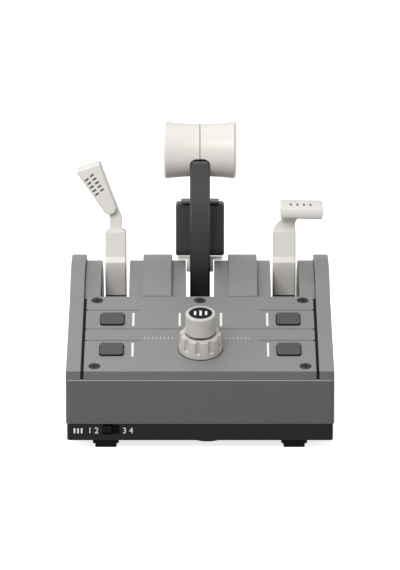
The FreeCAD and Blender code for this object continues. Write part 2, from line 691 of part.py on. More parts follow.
def ballast_plate():
    """Steel plate that keeps the unit steady."""
    plate = box(-56.0, 56.0, MOUNT_Y + 4.0, MOUNT_Y + 70.0, TRAY_FLOOR_TOP, TRAY_FLOOR_TOP + 4.0)
    return plate.cut(cyl_z(BOSS_R + 0.5, MOUNT_X, MOUNT_Y, TRAY_FLOOR_TOP, TRAY_FLOOR_TOP + 4.0))


def main_board():
    """Main circuit board on the tray's pillars, with its chips."""
    z = 14.0
    y0 = MOUNT_Y + 6.0
    board = box(-68.0, 68.0, y0, y0 + 62.0, z, z + BOARD_T)
    top = z + BOARD_T
    chips = [box(-6.0, 6.0, y0 + 26.0, y0 + 38.0, top, top + 1.4),
             box(22.0, 29.0, y0 + 30.0, y0 + 36.0, top, top + 1.2),
             box(-50.0, -38.0, y0 + 48.0, y0 + 54.0, top, top + 7.0),
             box(38.0, 50.0, y0 + 48.0, y0 + 54.0, top, top + 7.0)]
    return fuse([board] + chips)


def port_board():
    """Board that carries the rear sockets."""
    y1 = CASE_HALF_D - WALL
    board = box(-36.0, 36.0, y1 - 26.0, y1, PORT_BOARD_Z - BOARD_T, PORT_BOARD_Z)
    legs = [box(x - 2.0, x + 2.0, y1 - 8.0, y1 - 4.0, TRAY_FLOOR_TOP, PORT_BOARD_Z - BOARD_T)
            for x in (-32.0, 32.0)]
    return fuse([board] + legs)


def accessory_socket(x):
    """Modular socket with its plug cavity open to the rear."""
    y1 = CASE_HALF_D - 0.6
    body = box(x - SOCKET_W / 2, x + SOCKET_W / 2, y1 - PORT_DEPTH, y1, PORT_BOARD_Z, PORT_BOARD_Z + SOCKET_H)
    low = PORT_BOARD_Z + 2.2
    cavity = box(x - 4.9, x + 4.9, y1 - 12.5, y1 + 1.0, low, low + 6.8)
    latch = box(x - 3.0, x + 3.0, y1 - 8.0, y1 + 1.0, low + 6.8, low + 8.8)
    return body.cut(cavity).cut(latch)


def usb_socket():
    """Square data socket with its tongue."""
    y1 = CASE_HALF_D - 0.6
    body = box(-USB_W / 2, USB_W / 2, y1 - PORT_DEPTH, y1, PORT_BOARD_Z, PORT_BOARD_Z + USB_H)
    low = PORT_BOARD_Z + 1.4
    cavity = box(-4.4, 4.4, y1 - 10.0, y1 + 1.0, low, low + 8.2)
    tongue = box(-2.8, 2.8, y1 - 10.0, y1 - 7.0, low + 2.6, low + 5.4)
    return fuse([body.cut(cavity), tongue])


def flap_detent_plate():
    """Fixed sector under the flap lever, notched for each setting."""
    x1 = DETENT_X + DETENT_T
    plate = cyl_x(DETENT_R, DETENT_X, x1).cut(cyl_x(DETENT_R - 6.0, DETENT_X, x1))
    plate = plate.common(box(DETENT_X, x1, PIVOT_Y - 30.0, PIVOT_Y + 30.0, PIVOT_Z + 4.0, PIVOT_Z + 40.0))
    for i in range(DETENTS):
        turn = math.radians(-26.0 + 66.0 * i / (DETENTS - 1))
        y = PIVOT_Y + DETENT_R * math.sin(turn)
        z = PIVOT_Z + DETENT_R * math.cos(turn)
        plate = plate.cut(cyl_x(1.3, DETENT_X - 1.0, x1 + 1.0, y, z))
    legs = [box(DETENT_X, x1, y, y + 3.0, TRAY_FLOOR_TOP + 2.0, PIVOT_Z + 8.0)
            for y in (PIVOT_Y - DETENT_R + 1.2, PIVOT_Y + DETENT_R - 4.2)]
    return fuse([plate] + legs)


def flap_detent_pin():
    """Finger on the flap lever that rides over the notches."""
    return cyl_x(1.2, DETENT_X - 0.5, LANE_X - FLAP_STEM_W / 2.0, PIVOT_Y, PIVOT_Z + DETENT_R + 1.6)


def engine_switch_body():
    """Slide switch behind the tray's window."""
    half = SWITCH_W / 2.0 + 1.5
    y0 = -CASE_HALF_D + TRAY_INSET + WALL
    body = box(SWITCH_X - half, SWITCH_X + half, y0, y0 + 7.0, TRAY_FLOOR_TOP, TRAY_TOP - 0.1)
    mid = (SWITCH_Z0 + SWITCH_Z1) / 2.0
    track = box(SWITCH_X - SWITCH_W / 2.0, SWITCH_X + SWITCH_W / 2.0, y0, y0 + 3.0, mid - 2.8, mid + 2.8)
    return body.cut(track)


def engine_slider():
    """Ribbed thumb piece of the slide switch."""
    y0 = -CASE_HALF_D + TRAY_INSET
    mid = (SWITCH_Z0 + SWITCH_Z1) / 2.0
    x0 = SWITCH_X - SWITCH_W / 2.0 + 0.5
    piece = box(x0, x0 + SLIDER_W, y0 + 0.3, y0 + WALL + 2.6, mid - 2.4, mid + 2.4)
    for i in range(3):
        x = x0 + 1.0 + 1.4 * i
        piece = piece.cut(box(x, x + 0.6, y0, y0 + 0.9, mid - 3.0, mid + 3.0))
    return piece


# ---- levers -----------------------------------------------------------------


def hub(x):
    """Return a lever's hub before boring."""
    return cyl_x(HUB_R, x - HUB_HALF_W, x + HUB_HALF_W)


def bore(x):
    """Return the running bore of a lever on the axle."""
    return cyl_x(AXLE_R + RUN_FIT, x - HUB_HALF_W - 1.0, x + HUB_HALF_W + 1.0)


def lever_stem(x, width):
    """Return a stem whose ledge faces the pilot just above the drum."""
    front = [(-6.0, PIVOT_Z), (-6.0, 70.0), (-13.2, 95.5), (-13.8, 99.3), (-10.4, 102.6), (-9.2, SHOULDER_Z)]
    back = [(0.8, SHOULDER_Z), (2.2, 90.0), (6.0, 70.0), (6.0, PIVOT_Z)]
    stem = prism_yz(aft(front + back), x - width / 2.0, x + width / 2.0)
    top = edges_along(stem, V(0, 1, 0), lambda p: p.z > SHOULDER_Z - 0.1)
    stem = stem.makeChamfer(1.4, top)
    brow = edges_along(stem, V(1, 0, 0), lambda p: p.z > SHOULDER_Z - 0.1 and p.y < PIVOT_Y - 9.0)
    stem = stem.makeChamfer(0.9, brow)
    rails = [e for e in stem.Edges if abs(abs(e.CenterOfMass.x - x) - width / 2.0) < 0.01
             and e.CenterOfMass.y < PIVOT_Y - 6.8 and e.CenterOfMass.z > 60.0]
    return stem.makeChamfer(0.8, rails)


def lever_neck(x, points):
    """Return the thinner piece between a stem and its handle, drawn from the lever's centre."""
    neck = prism_xz(points, PIVOT_Y - 6.4, PIVOT_Y - 0.2)
    neck.translate(V(x, 0, 0))
    return neck


def speedbrake_stem():
    """Ivory stem, bent neck and hub of the left lever."""
    stem = lever_stem(-LANE_X, SPEED_STEM_W)
    neck = lever_neck(-LANE_X, [(-4.3, SHOULDER_Z - 3.0), (4.3, SHOULDER_Z - 3.0), (4.5, 129.6),
                                (-0.6, 143.0), (-6.6, 141.0), (-4.1, 130.5)])
    neck = neck.makeFillet(1.5, edges_along(neck, V(0, 1, 0), lambda p: p.z > 128.0))
    return fuse([stem, hub(-LANE_X), neck]).cut(bore(-LANE_X))


def speedbrake_paddle():
    """Wedge-shaped paddle leaning to the left."""
    blade = prism_xz([(-28.0, 163.2), (-11.0, 168.9), (0.9, 137.0), (-0.6, 133.4), (-4.2, 131.9),
                      (-7.8, 134.0)], PIVOT_Y - 10.2, PIVOT_Y + 7.2)
    blade.translate(V(-LANE_X, 0, 0))
    blade = blade.makeFillet(1.4, blade.Edges)
    return blade.cut(speedbrake_stem())


def flap_stem():
    """Ivory stem, offset neck and hub of the right lever."""
    stem = lever_stem(LANE_X, FLAP_STEM_W)
    neck = lever_neck(LANE_X, [(-7.6, SHOULDER_Z - 3.0), (7.6, SHOULDER_Z - 3.0), (7.6, 125.8),
                               (8.1, 127.6), (9.4, 129.3), (11.8, 130.6), (11.8, 134.0), (0.6, 134.0),
                               (0.6, 130.8), (-2.6, 127.9), (-5.3, 124.9), (-6.9, 122.2), (-7.6, 119.6)])
    return fuse([stem, hub(LANE_X), neck]).cut(bore(LANE_X))


def flap_handle():
    """Wing-section handle lying across the lever."""
    section = [(-16.8, 131.6), (-16.8, 136.8), (-15.2, 138.6), (-6.8, 140.2), (3.2, 140.9), (6.6, 139.6),
               (7.6, 136.6), (5.4, 132.6), (1.2, 130.6), (-14.4, 130.4)]
    x0 = LANE_X - 2.8
    x1 = x0 + 29.4
    handle = prism_yz(aft(section), x0, x1)
    ends = [e for e in handle.Edges if e.CenterOfMass.x < x0 + 0.1 or e.CenterOfMass.x > x1 - 0.1]
    handle = handle.makeChamfer(0.9, ends)
    handle.rotate(V((x0 + x1) / 2.0, PIVOT_Y - 4.8, 135.6), V(0, 1, 0), 1.5)
    return handle.cut(flap_stem())


def tip_envelope(grow):
    """Return the arm's full-depth outline with its rounded top corners."""
    half = ARM_W / 2.0 + grow
    return rounded_box(-half, half, PIVOT_Y - 45.0, PIVOT_Y + 35.0, -20.0, ARM_TOP + grow,
                       ARM_TIP_R + grow, V(0, 1, 0))


def throttle_arm():
    """Black cranked arm with its hub."""
    front = [(-7.0, PIVOT_Z), (-7.0, 70.0), (-23.8, 134.0), (-23.0, 169.0), (-21.8, 172.4), (-19.8, ARM_TOP)]
    back = [(-14.4, ARM_TOP), (-12.2, 170.0), (-12.2, 140.0), (1.2, 92.0), (6.0, 74.0), (6.0, PIVOT_Z)]
    arm = prism_yz(aft(front + back), -ARM_W / 2.0, ARM_W / 2.0)
    sides = [e for e in arm.Edges if abs(abs(e.CenterOfMass.x) - ARM_W / 2.0) < 0.01
             and e.CenterOfMass.z > 60.0 and e.CenterOfMass.y < PIVOT_Y - 14.8]
    arm = arm.makeChamfer(1.3, sides)
    arm = arm.common(tip_envelope(0.0))
    pin = cyl_x(REV_PIN_R + RUN_FIT, -12.0, 12.0, REV_PIN_Y, REV_PIN_Z)
    half = REV_WEB_W / 2.0 + CLEAR
    reach = REV_EYE_R + CLEAR
    clevis = fuse([box(-half, half, REV_PIN_Y, REV_PIN_Y + 32.0, REV_PIN_Z - 16.0, REV_PIN_Z + 18.0),
                   box(-half, half, REV_PIN_Y - reach, REV_PIN_Y, REV_PIN_Z, REV_PIN_Z + 18.0),
                   cyl_x(reach, -half, half, REV_PIN_Y, REV_PIN_Z)])
    return fuse([arm, hub(0.0)]).cut(bore(0.0)).cut(pin).cut(clevis)


def grip_profile(inset, x_end):
    """Return half of the waisted grip as a turned solid, from the seam to its end."""
    steps = 8
    ring = []
    for i in range(steps + 1):
        f = i / steps
        r = GRIP_MID_R + (GRIP_END_R - GRIP_MID_R) * f * f - inset
        ring.append(V(SEAM_W + f * (x_end - 1.2 - SEAM_W), 0, r))
    curve = Part.BSplineCurve()
    curve.interpolate(ring)
    rest = [ring[-1], V(x_end, 0, GRIP_END_R - 1.6 - inset), V(x_end, 0, 0), V(0, 0, 0),
            V(0, 0, GRIP_MID_R - SEAM_D - inset), ring[0]]
    edges = [curve.toShape()] + [Part.makeLine(a, b) for a, b in zip(rest, rest[1:])]
    solid = Part.Face(Part.Wire(edges)).revolve(V(0, 0, 0), V(1, 0, 0), 360.0)
    solid.translate(V(0, GRIP_Y, GRIP_Z))
    return solid


def grip_half(side):
    """One moulded half of the ivory grip."""
    end = GRIP_LEN / 2.0
    half = grip_profile(0.0, end).cut(grip_profile(GRIP_SHELL, end - GRIP_SHELL))
    half = half.cut(cyl_x(BUTTON_END_R + END_BUTTON_GAP, end - GRIP_SHELL - 2.0, end + 1.0, GRIP_Y, GRIP_Z))
    if side < 0:
        half = half.mirror(V(0, 0, 0), V(1, 0, 0))
    groove = tip_envelope(0.1).common(box(-20.0, 20.0, GRIP_Y - 29.0, GRIP_Y - 5.8, 150.0, 180.0))
    return half.cut(groove)


def grip_core():
    """Spine inside the grip that joins both halves to the arm."""
    spine = cyl_x(5.0, -GRIP_LEN / 2.0 + 7.0, GRIP_LEN / 2.0 - 7.0, GRIP_Y, GRIP_Z)
    web = box(-ARM_W / 2.0, ARM_W / 2.0, GRIP_Y - 6.4, GRIP_Y, 164.0, GRIP_Z)
    return fuse([spine, web])


def grip_button(side):
    """Push button in one end of the grip."""
    end = GRIP_LEN / 2.0
    cap = cyl_x(BUTTON_END_R, end - GRIP_SHELL - 0.8, end - 0.2, GRIP_Y, GRIP_Z)
    flange = cyl_x(BUTTON_END_R + 1.4, end - GRIP_SHELL - 1.4, end - GRIP_SHELL - 0.1, GRIP_Y, GRIP_Z)
    button = fuse([cap, flange])
    if side < 0:
        button = button.mirror(V(0, 0, 0), V(1, 0, 0))
    return button


def reverser_bracket():
    """Ivory saddle behind the arm, riding in the middle slot."""
    neck = box(-MID_SLOT_W / 2.0 + 0.6, MID_SLOT_W / 2.0 - 0.6, REV_Y0 - 8.0, REV_Y0 + 5.0,
               REV_Z0 - 9.1, REV_Z0 - 0.9)
    flare = box(-15.5, 15.5, REV_Y0 - 4.0, REV_Y0 + 5.0, REV_Z0 - 1.4, REV_Z0 - 0.3)
    whole = fuse([neck, flare])
    return whole.cut(throttle_arm())


def reverser_grip():
    """Black pull block behind the arm, curved under at the foot."""
    block = box(-REV_HALF_W, REV_HALF_W, REV_Y0, REV_Y1, REV_Z0, REV_Z1)
    foot = edges_along(block, V(1, 0, 0), lambda p: p.z < REV_Z0 + 0.1)
    block = block.makeFillet(5.5, foot)
    brow = edges_along(block, V(1, 0, 0), lambda p: p.z > REV_Z1 - 0.1)
    block = block.makeFillet(1.6, brow)
    return block.makeFillet(1.8, [e for e in block.Edges if abs(abs(e.CenterOfMass.x) - REV_HALF_W) < 0.01])


def reverser_web():
    """Web that carries the pull block on its pin, with the finger tab."""
    half = REV_WEB_W / 2.0
    web = prism_yz([(REV_PIN_Y, REV_PIN_Z - REV_EYE_R), (REV_PIN_Y, REV_PIN_Z + REV_EYE_R),
                    (REV_Y0 - 4.0, TAB_Z), (REV_Y0, TAB_Z), (REV_Y0, REV_PIN_Z - 14.0),
                    (REV_Y0 - 4.0, REV_PIN_Z - 12.0)], -half, half)
    eye = cyl_x(REV_EYE_R, -half, half, REV_PIN_Y, REV_PIN_Z)
    tab = box(-13.3, 13.3, REV_Y0 - 4.0, REV_Y0 + 9.0, TAB_Z - 1.3, TAB_Z)
    pin = cyl_x(REV_PIN_R, -half, half, REV_PIN_Y, REV_PIN_Z)
    return fuse([web, eye, tab]).cut(pin)


def reverser_pin():
    """Pin pressed into the web, running in the arm."""
    half = ARM_W / 2.0 - 0.2
    return cyl_x(REV_PIN_R, -half, half, REV_PIN_Y, REV_PIN_Z)


save("rubber_feet", rubber_feet())
save("base_tray", base_tray())
save("base_screws", base_screws())
save("lower_case", lower_case())
save("side_cover_left", side_cover(-1))
save("side_cover_right", side_cover(1))
save("drum_cover", drum_cover())
save("raised_strip_left", raised_strip(-1))
save("raised_strip_right", raised_strip(1))
save("slot_liner_left", slot_liner(*SLOTS[0]))
save("slot_liner_centre", slot_liner(*SLOTS[1]))
save("slot_liner_right", slot_liner(*SLOTS[2]))
save("front_panel", front_panel())
save("panel_screws", panel_screws())
save("panel_board", panel_board())
save("tact_switches", tact_switches())
save("encoder_body", encoder_body())
save("lever_frame", lever_frame())
save("frame_screws", frame_screws())
save("pivot_axle", pivot_axle())
save("axle_circlips", axle_circlips())
save("axle_spacers", axle_spacers())
save("friction_washers", friction_washers())
save("sensor_boards", sensor_boards())
save("ballast_plate", ballast_plate())
save("main_board", main_board())
save("port_board", port_board())
save("accessory_socket_left", accessory_socket(-SOCKET_X))
save("accessory_socket_right", accessory_socket(SOCKET_X))
save("usb_socket", usb_socket())
save("flap_detent_plate", flap_detent_plate())
save("engine_switch_body", engine_switch_body())
save("engine_slider", engine_slider())
save("speedbrake_stem", speedbrake_stem())
save("speedbrake_paddle", speedbrake_paddle())
save("speedbrake_magnet", hub_magnet(-LANE_X))
save("throttle_arm", throttle_arm())
save("throttle_magnet", hub_magnet(0.0))
save("grip_left", grip_half(-1))
save("grip_right", grip_half(1))
save("grip_core", grip_core())
save("grip_button_left", grip_button(-1))
save("grip_button_right", grip_button(1))
save("reverser_bracket", reverser_bracket())
save("reverser_web", reverser_web())
save("reverser_pin", reverser_pin())
save("reverser_grip", reverser_grip())
save("flap_stem", flap_stem())
save("flap_handle", flap_handle())
save("flap_magnet", hub_magnet(LANE_X))
save("flap_detent_pin", flap_detent_pin())
for button_name in BUTTONS:
    save(button_name, panel_button(button_name))
save("selector_ring", selector_ring())
save("encoder_knob", encoder_knob())
save("select_cap", select_cap())
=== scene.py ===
"""Desk throttle quadrant: finishes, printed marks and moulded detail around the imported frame."""

import json
import logging
import math
from dataclasses import dataclass, replace
from enum import Enum
from typing import Any

import bmesh
import bpy
from mathutils import Matrix, Vector

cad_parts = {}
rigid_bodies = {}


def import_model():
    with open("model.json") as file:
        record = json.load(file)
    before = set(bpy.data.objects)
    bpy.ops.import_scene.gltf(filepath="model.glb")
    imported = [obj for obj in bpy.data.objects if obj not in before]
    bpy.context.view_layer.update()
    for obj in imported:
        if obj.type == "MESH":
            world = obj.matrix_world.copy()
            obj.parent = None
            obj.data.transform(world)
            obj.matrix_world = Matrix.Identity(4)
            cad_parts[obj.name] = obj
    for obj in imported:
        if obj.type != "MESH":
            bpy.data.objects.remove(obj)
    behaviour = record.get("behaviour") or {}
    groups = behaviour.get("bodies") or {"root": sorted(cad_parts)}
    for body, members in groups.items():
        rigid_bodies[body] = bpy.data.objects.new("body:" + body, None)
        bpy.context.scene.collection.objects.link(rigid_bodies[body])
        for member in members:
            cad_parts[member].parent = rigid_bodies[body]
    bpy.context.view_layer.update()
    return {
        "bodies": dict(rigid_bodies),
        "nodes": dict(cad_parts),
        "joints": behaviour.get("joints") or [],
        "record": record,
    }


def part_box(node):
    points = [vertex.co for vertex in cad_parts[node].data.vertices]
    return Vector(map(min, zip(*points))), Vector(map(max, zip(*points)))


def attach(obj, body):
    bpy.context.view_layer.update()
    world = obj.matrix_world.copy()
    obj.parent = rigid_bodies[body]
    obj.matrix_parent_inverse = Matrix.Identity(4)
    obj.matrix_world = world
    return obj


log = logging.getLogger("throttle_quadrant")

MM = 0.001
Colour = tuple[float, float, float, float]
Triple = tuple[float, float, float]
Pair = tuple[float, float]


# ---- shader graph ---------------------------------------------------------------


class Graph:
    """The node tree of a new material or world, with one way to add any node."""

    def __init__(self, owner: Any) -> None:
        """Start an empty tree.

        Args:
            owner: the material or world.
        """
        owner.use_nodes = True
        self.owner = owner
        self.tree = owner.node_tree
        self.tree.nodes.clear()

    def add(self, kind: str, settings: dict[str, Any] | None = None,
            inputs: dict[Any, Any] | None = None) -> Any:
        """Add a node.

        Args:
            kind: the node's type name.
            settings: attributes, which are set before the sockets.
            inputs: values or links by socket name or index.

        Returns:
            The new node.
        """
        node = self.tree.nodes.new(kind)
        for key, value in (settings or {}).items():
            setattr(node, key, value)
        for key, value in (inputs or {}).items():
            self._feed(node.inputs[key], value)
        return node

    def _feed(self, socket: Any, value: Any) -> None:
        """Link or set one socket.

        Args:
            socket: the input socket.
            value: a Sock, a node output, or a plain value.
        """
        if isinstance(value, Sock):
            self.tree.links.new(value.out, socket)
        elif isinstance(value, bpy.types.NodeSocket):
            self.tree.links.new(value, socket)
        else:
            socket.default_value = value

    def sock(self, out: Any) -> "Sock":
        """Wrap an output socket."""
        return Sock(self, out)

    def coords(self) -> "Sock":
        """Return the object coordinates, which are the quadrant's own frame at rest."""
        return self.sock(self.add("ShaderNodeTexCoord").outputs["Object"])

    def along(self, way: Triple) -> "Sock":
        """Return how far a point lies along a direction, in metres."""
        node = self.add("ShaderNodeVectorMath", {"operation": "DOT_PRODUCT"}, {0: self.coords(), 1: way})
        return self.sock(node.outputs["Value"])

    def noise(self, scale: float, detail: float = 3.0, roughness: float = 0.55) -> "Sock":
        """Return a noise value over the object.

        Args:
            scale: waves per metre.
            detail: octaves.
            roughness: weight of the finer octaves.

        Returns:
            The noise as a value about 0.5.
        """
        node = self.add("ShaderNodeTexNoise", {"noise_dimensions": "3D"},
                        {"Vector": self.coords(), "Scale": scale, "Detail": detail, "Roughness": roughness})
        return self.sock(node.outputs["Fac"])

    def mix(self, factor: Any, low: Any, high: Any) -> "Sock":
        """Mix two colours.

        Args:
            factor: 0 gives low and 1 gives high.
            low: first colour.
            high: second colour.

        Returns:
            The mixed colour.
        """
        node = self.add("ShaderNodeMix", {"data_type": "RGBA"}, {0: factor, 6: low, 7: high})
        return self.sock(node.outputs[2])

    def bump(self, height: "Sock", distance: float) -> "Sock":
        """Return a bumped normal.

        Args:
            height: the height value.
            distance: metres that a height of one stands for.

        Returns:
            The normal.
        """
        node = self.add("ShaderNodeBump", {}, {"Strength": 1.0, "Distance": distance, "Height": height})
        return self.sock(node.outputs["Normal"])

    def seen(self) -> "Sock":
        """Tell what is looked at from what only lights the scene.

        Returns:
            1 for what the camera sees, itself or in a reflection or through glass, and 0 for light.
        """
        path = self.add("ShaderNodeLightPath")
        shiny = self.sock(path.outputs["Is Transmission Ray"]).maximum(path.outputs["Is Glossy Ray"])
        return self.sock(path.outputs["Is Camera Ray"]).maximum(shiny)

    def surface(self, inputs: dict[str, Any]) -> bpy.types.Material:
        """Close the graph with a Principled shader.

        Args:
            inputs: the shader's sockets.

        Returns:
            The finished material.
        """
        shader = self.add("ShaderNodeBsdfPrincipled", {}, inputs)
        self.add("ShaderNodeOutputMaterial", {}, {"Surface": shader.outputs[0]})
        return self.owner


class Sock:
    """A value socket that takes part in Python arithmetic."""

    def __init__(self, graph: Graph, out: Any) -> None:
        """Hold an output socket of a graph."""
        self.graph = graph
        self.out = out

    def _math(self, operation: str, first: Any, second: Any) -> "Sock":
        """Add a Math node and return its value."""
        node = self.graph.add("ShaderNodeMath", {"operation": operation}, {0: first, 1: second})
        return Sock(self.graph, node.outputs[0])

    def __add__(self, other: Any) -> "Sock":
        """Add."""
        return self._math("ADD", self, other)

    __radd__ = __add__

    def __sub__(self, other: Any) -> "Sock":
        """Subtract."""
        return self._math("SUBTRACT", self, other)

    def __rsub__(self, other: Any) -> "Sock":
        """Subtract from a number."""
        return self._math("SUBTRACT", other, self)

    def __mul__(self, other: Any) -> "Sock":
        """Multiply."""
        return self._math("MULTIPLY", self, other)

    __rmul__ = __mul__

    def maximum(self, other: Any) -> "Sock":
        """Return the larger of two values."""
        return self._math("MAXIMUM", self, other)

    def angle_from(self, other: Any) -> "Sock":
        """Return the angle whose tangent is this value over another."""
        return self._math("ARCTAN2", self, other)

    def sine(self) -> "Sock":
        """Return the sine."""
        return self._math("SINE", self, 0.0)

    def step(self, low: float, high: float) -> "Sock":
        """Return a smooth step.

        Args:
            low: value that gives 0.
            high: value that gives 1.

        Returns:
            The step.
        """
        node = self.graph.add("ShaderNodeMapRange", {"interpolation_type": "SMOOTHSTEP"},
                              {"Value": self, "From Min": low, "From Max": high})
        return Sock(self.graph, node.outputs["Result"])

    def axis(self, name: str) -> "Sock":
        """Return one component of a vector."""
        node = self.graph.add("ShaderNodeSeparateXYZ", {}, {0: self})
        return Sock(self.graph, node.outputs[name])


def grey(level: float) -> Colour:
    """Return a neutral grey."""
    return (level, level, level, 1.0)


def spread(middle: float, noise: Sock, width: float) -> Sock:
    """Return a value that strays from its middle with a noise."""
    return middle + (noise - 0.5) * width


def tint(colour: Colour, gain: float) -> Colour:
    """Return a colour made lighter or darker by a gain."""
    return (colour[0] * gain, colour[1] * gain, colour[2] * gain, 1.0)


# ---- the sloped panel -----------------------------------------------------------


@dataclass(frozen=True)
class Slope:
    """The sloped panel's own frame in millimetres: x across, v up the slope, w out of it."""

    tilt: float = 19.0
    foot_y: float = -101.2
    foot_z: float = 52.0
    bevel_rise: float = 5.0
    bevel_run: float = 4.3
    knob_x: float = 0.4
    knob_v: float = 29.0

    def place(self, x: float, v: float, w: float) -> Matrix:
        """Return the frame of a point on the panel.

        Args:
            x: across, in millimetres.
            v: up the slope.
            w: out of it.

        Returns:
            The frame in metres, with its z axis out of the panel.
        """
        foot = Matrix.Translation(Vector((0.0, self.foot_y, self.foot_z)) * MM)
        turn = Matrix.Rotation(math.radians(self.tilt), 4, "X")
        return foot @ turn @ Matrix.Translation(Vector((x, v, w)) * MM)

    def knob(self, w: float) -> Matrix:
        """Return the frame of a point on the knob's axis, w millimetres out of the panel."""
        return self.place(self.knob_x, self.knob_v, w)

    def bevel(self, x: float, v: float, w: float) -> Matrix:
        """Return the frame of a point on the bevel below the panel.

        Args:
            x: across, in millimetres.
            v: up the bevel from its lower edge.
            w: out of it.

        Returns:
            The frame in metres, with its z axis out of the bevel.
        """
        low = Vector((0.0, self.foot_y - self.bevel_run, self.foot_z - self.bevel_rise)) * MM
        turn = Matrix.Rotation(math.atan2(self.bevel_rise, self.bevel_run), 4, "X")
        return Matrix.Translation(low) @ turn @ Matrix.Translation(Vector((x, v, w)) * MM)

    def normal(self) -> Triple:
        """Return the direction out of the panel."""
        return tuple(self.place(0.0, 0.0, 0.0).to_3x3() @ Vector((0.0, 0.0, 1.0)))

    def level(self, w: float) -> float:
        """Return where a plane w millimetres out of the panel lies along its normal, in metres."""
        return self.place(0.0, 0.0, w).translation.dot(Vector(self.normal()))


SLOPE = Slope()


# ---- finishes -------------------------------------------------------------------


@dataclass(frozen=True)
class Stuff:
    """What every finish has: its name and its colour."""

    name: str
    colour: Colour

    def graph(self) -> Graph:
        """Start the finish's material."""
        return Graph(bpy.data.materials.new(self.name))

    def shade(self, g: Graph, factor: Sock, low: float, high: float) -> Sock:
        """Vary the colour between two gains.

        Args:
            g: the material's graph.
            factor: 0 gives the first gain and 1 the second.
            low: first gain.
            high: second gain.

        Returns:
            The varied colour.
        """
        return g.mix(factor, tint(self.colour, low), tint(self.colour, high))


@dataclass(frozen=True)
class Moulded(Stuff):
    """A moulded plastic with its spark-eroded grain.

    Where asked, it has painted shade below a band's top, a painted highlight above a rim, and painted
    shade in a seam at x = 0. Lengths are in metres.
    """

    roughness: float = 0.5
    specular: float = 0.4
    grain: float = 1600.0
    grain_depth: float = 0.00006
    grain_dark: float = 0.12
    mottle: float = 0.03
    rub_width: float = 0.14
    painted_shade_colour: Colour | None = None
    painted_shade_top: float = 0.0
    painted_shade_up: Triple = (0.0, 0.0, 1.0)
    painted_highlight_z: float = 0.0
    painted_highlight_blur: Pair = (0.0007, 0.0004)
    painted_highlight_gain: float = 4.0
    seam_shade_half: float = 0.0
    seam_shade_gain: float = 0.25
    blur: float = 0.0001

    def build(self) -> bpy.types.Material:
        """Build the finish.

        Returns:
            The material.
        """
        g = self.graph()
        fine = g.noise(self.grain, detail=2.0)
        rub = g.noise(150.0, detail=5.0, roughness=0.65)
        cloud = g.noise(38.0, detail=4.0)
        colour = self.shade(g, cloud, 1.0 - self.mottle, 1.0 + self.mottle)
        colour = self._seam_shade(g, self._painted_highlight(g, self._painted_shade(g, colour)))
        colour = g.mix(fine.step(0.42, 0.62) * self.grain_dark, colour, tint(self.colour, 0.8))
        return g.surface({"Base Color": colour, "Roughness": spread(self.roughness, rub, self.rub_width),
                          "Specular IOR Level": self.specular,
                          "Normal": g.bump(fine + rub * 0.3, self.grain_depth)})

    def _painted_shade(self, g: Graph, colour: Sock) -> Sock:
        """Paint shade below the band's top by giving it the darker band colour.

        Args:
            g: the material's graph.
            colour: the colour so far.

        Returns:
            The new colour.
        """
        if self.painted_shade_colour is None:
            return colour
        above = g.along(self.painted_shade_up).step(self.painted_shade_top - self.blur, self.painted_shade_top + self.blur)
        return g.mix(above, self.painted_shade_colour, colour)

    def _painted_highlight(self, g: Graph, colour: Sock) -> Sock:
        """Paint a highlight above the rim by making the colour lighter there.

        Args:
            g: the material's graph.
            colour: the colour so far.

        Returns:
            The new colour.
        """
        if self.painted_highlight_z <= 0.0:
            return colour
        start, end = self.painted_highlight_blur
        above = g.along((0.0, 0.0, 1.0)).step(self.painted_highlight_z - start, self.painted_highlight_z - end)
        return g.mix(above, colour, tint(self.colour, self.painted_highlight_gain))

    def _seam_shade(self, g: Graph, colour: Sock) -> Sock:
        """Paint shade into the seam by darkening the colour there.

        Args:
            g: the material's graph.
            colour: the colour so far.

        Returns:
            The new colour.
        """
        if self.seam_shade_half <= 0.0:
            return colour
        x = g.along((1.0, 0.0, 0.0))
        clear = x.maximum(0.0 - x).step(self.seam_shade_half - self.blur, self.seam_shade_half + self.blur)
        return g.mix(clear, tint(self.colour, self.seam_shade_gain), colour)


@dataclass(frozen=True)
class Knurled(Stuff):
    """Moulded plastic with fine ribs and rings round a tilted axis."""

    centre: Triple
    tilt: float
    ribs: int = 64
    rings: float = 5200.0
    depth: float = 0.00006
    roughness: float = 0.42

    def build(self) -> bpy.types.Material:
        """Build the finish.

        Returns:
            The material.
        """
        g = self.graph()
        moved = g.add("ShaderNodeVectorMath", {"operation": "SUBTRACT"}, {0: g.coords(), 1: self.centre})
        tipped = g.add("ShaderNodeVectorRotate", {"rotation_type": "X_AXIS"},
                       {"Vector": moved.outputs[0], "Angle": -math.radians(self.tilt)})
        local = g.sock(tipped.outputs[0])
        rib = (local.axis("Y").angle_from(local.axis("X")) * float(self.ribs)).sine()
        ring = (local.axis("Z") * self.rings).sine()
        cloud = g.noise(60.0, detail=4.0)
        pattern = rib * 0.5 + ring * 0.25
        colour = self.shade(g, pattern.step(-0.6, 0.6), 0.9, 1.04)
        return g.surface({"Base Color": g.mix(cloud * 0.1, colour, tint(self.colour, 0.85)),
                          "Roughness": spread(self.roughness, cloud, 0.12),
                          "Normal": g.bump(pattern, self.depth)})


@dataclass(frozen=True)
class Painted(Stuff):
    """Satin paint over metal."""

    roughness: float = 0.38
    peel: float = 420.0
    peel_depth: float = 0.00005
    coat: float = 0.1
    coat_roughness: float = 0.3

    def build(self) -> bpy.types.Material:
        """Build the finish.

        Returns:
            The material.
        """
        g = self.graph()
        smear = g.noise(90.0, detail=5.0, roughness=0.6)
        peel = g.noise(self.peel, detail=2.0)
        return g.surface({"Base Color": self.shade(g, smear, 0.92, 1.1),
                          "Roughness": spread(self.roughness, smear, 0.16),
                          "Coat Weight": self.coat, "Coat Roughness": self.coat_roughness,
                          "Normal": g.bump(peel, self.peel_depth)})


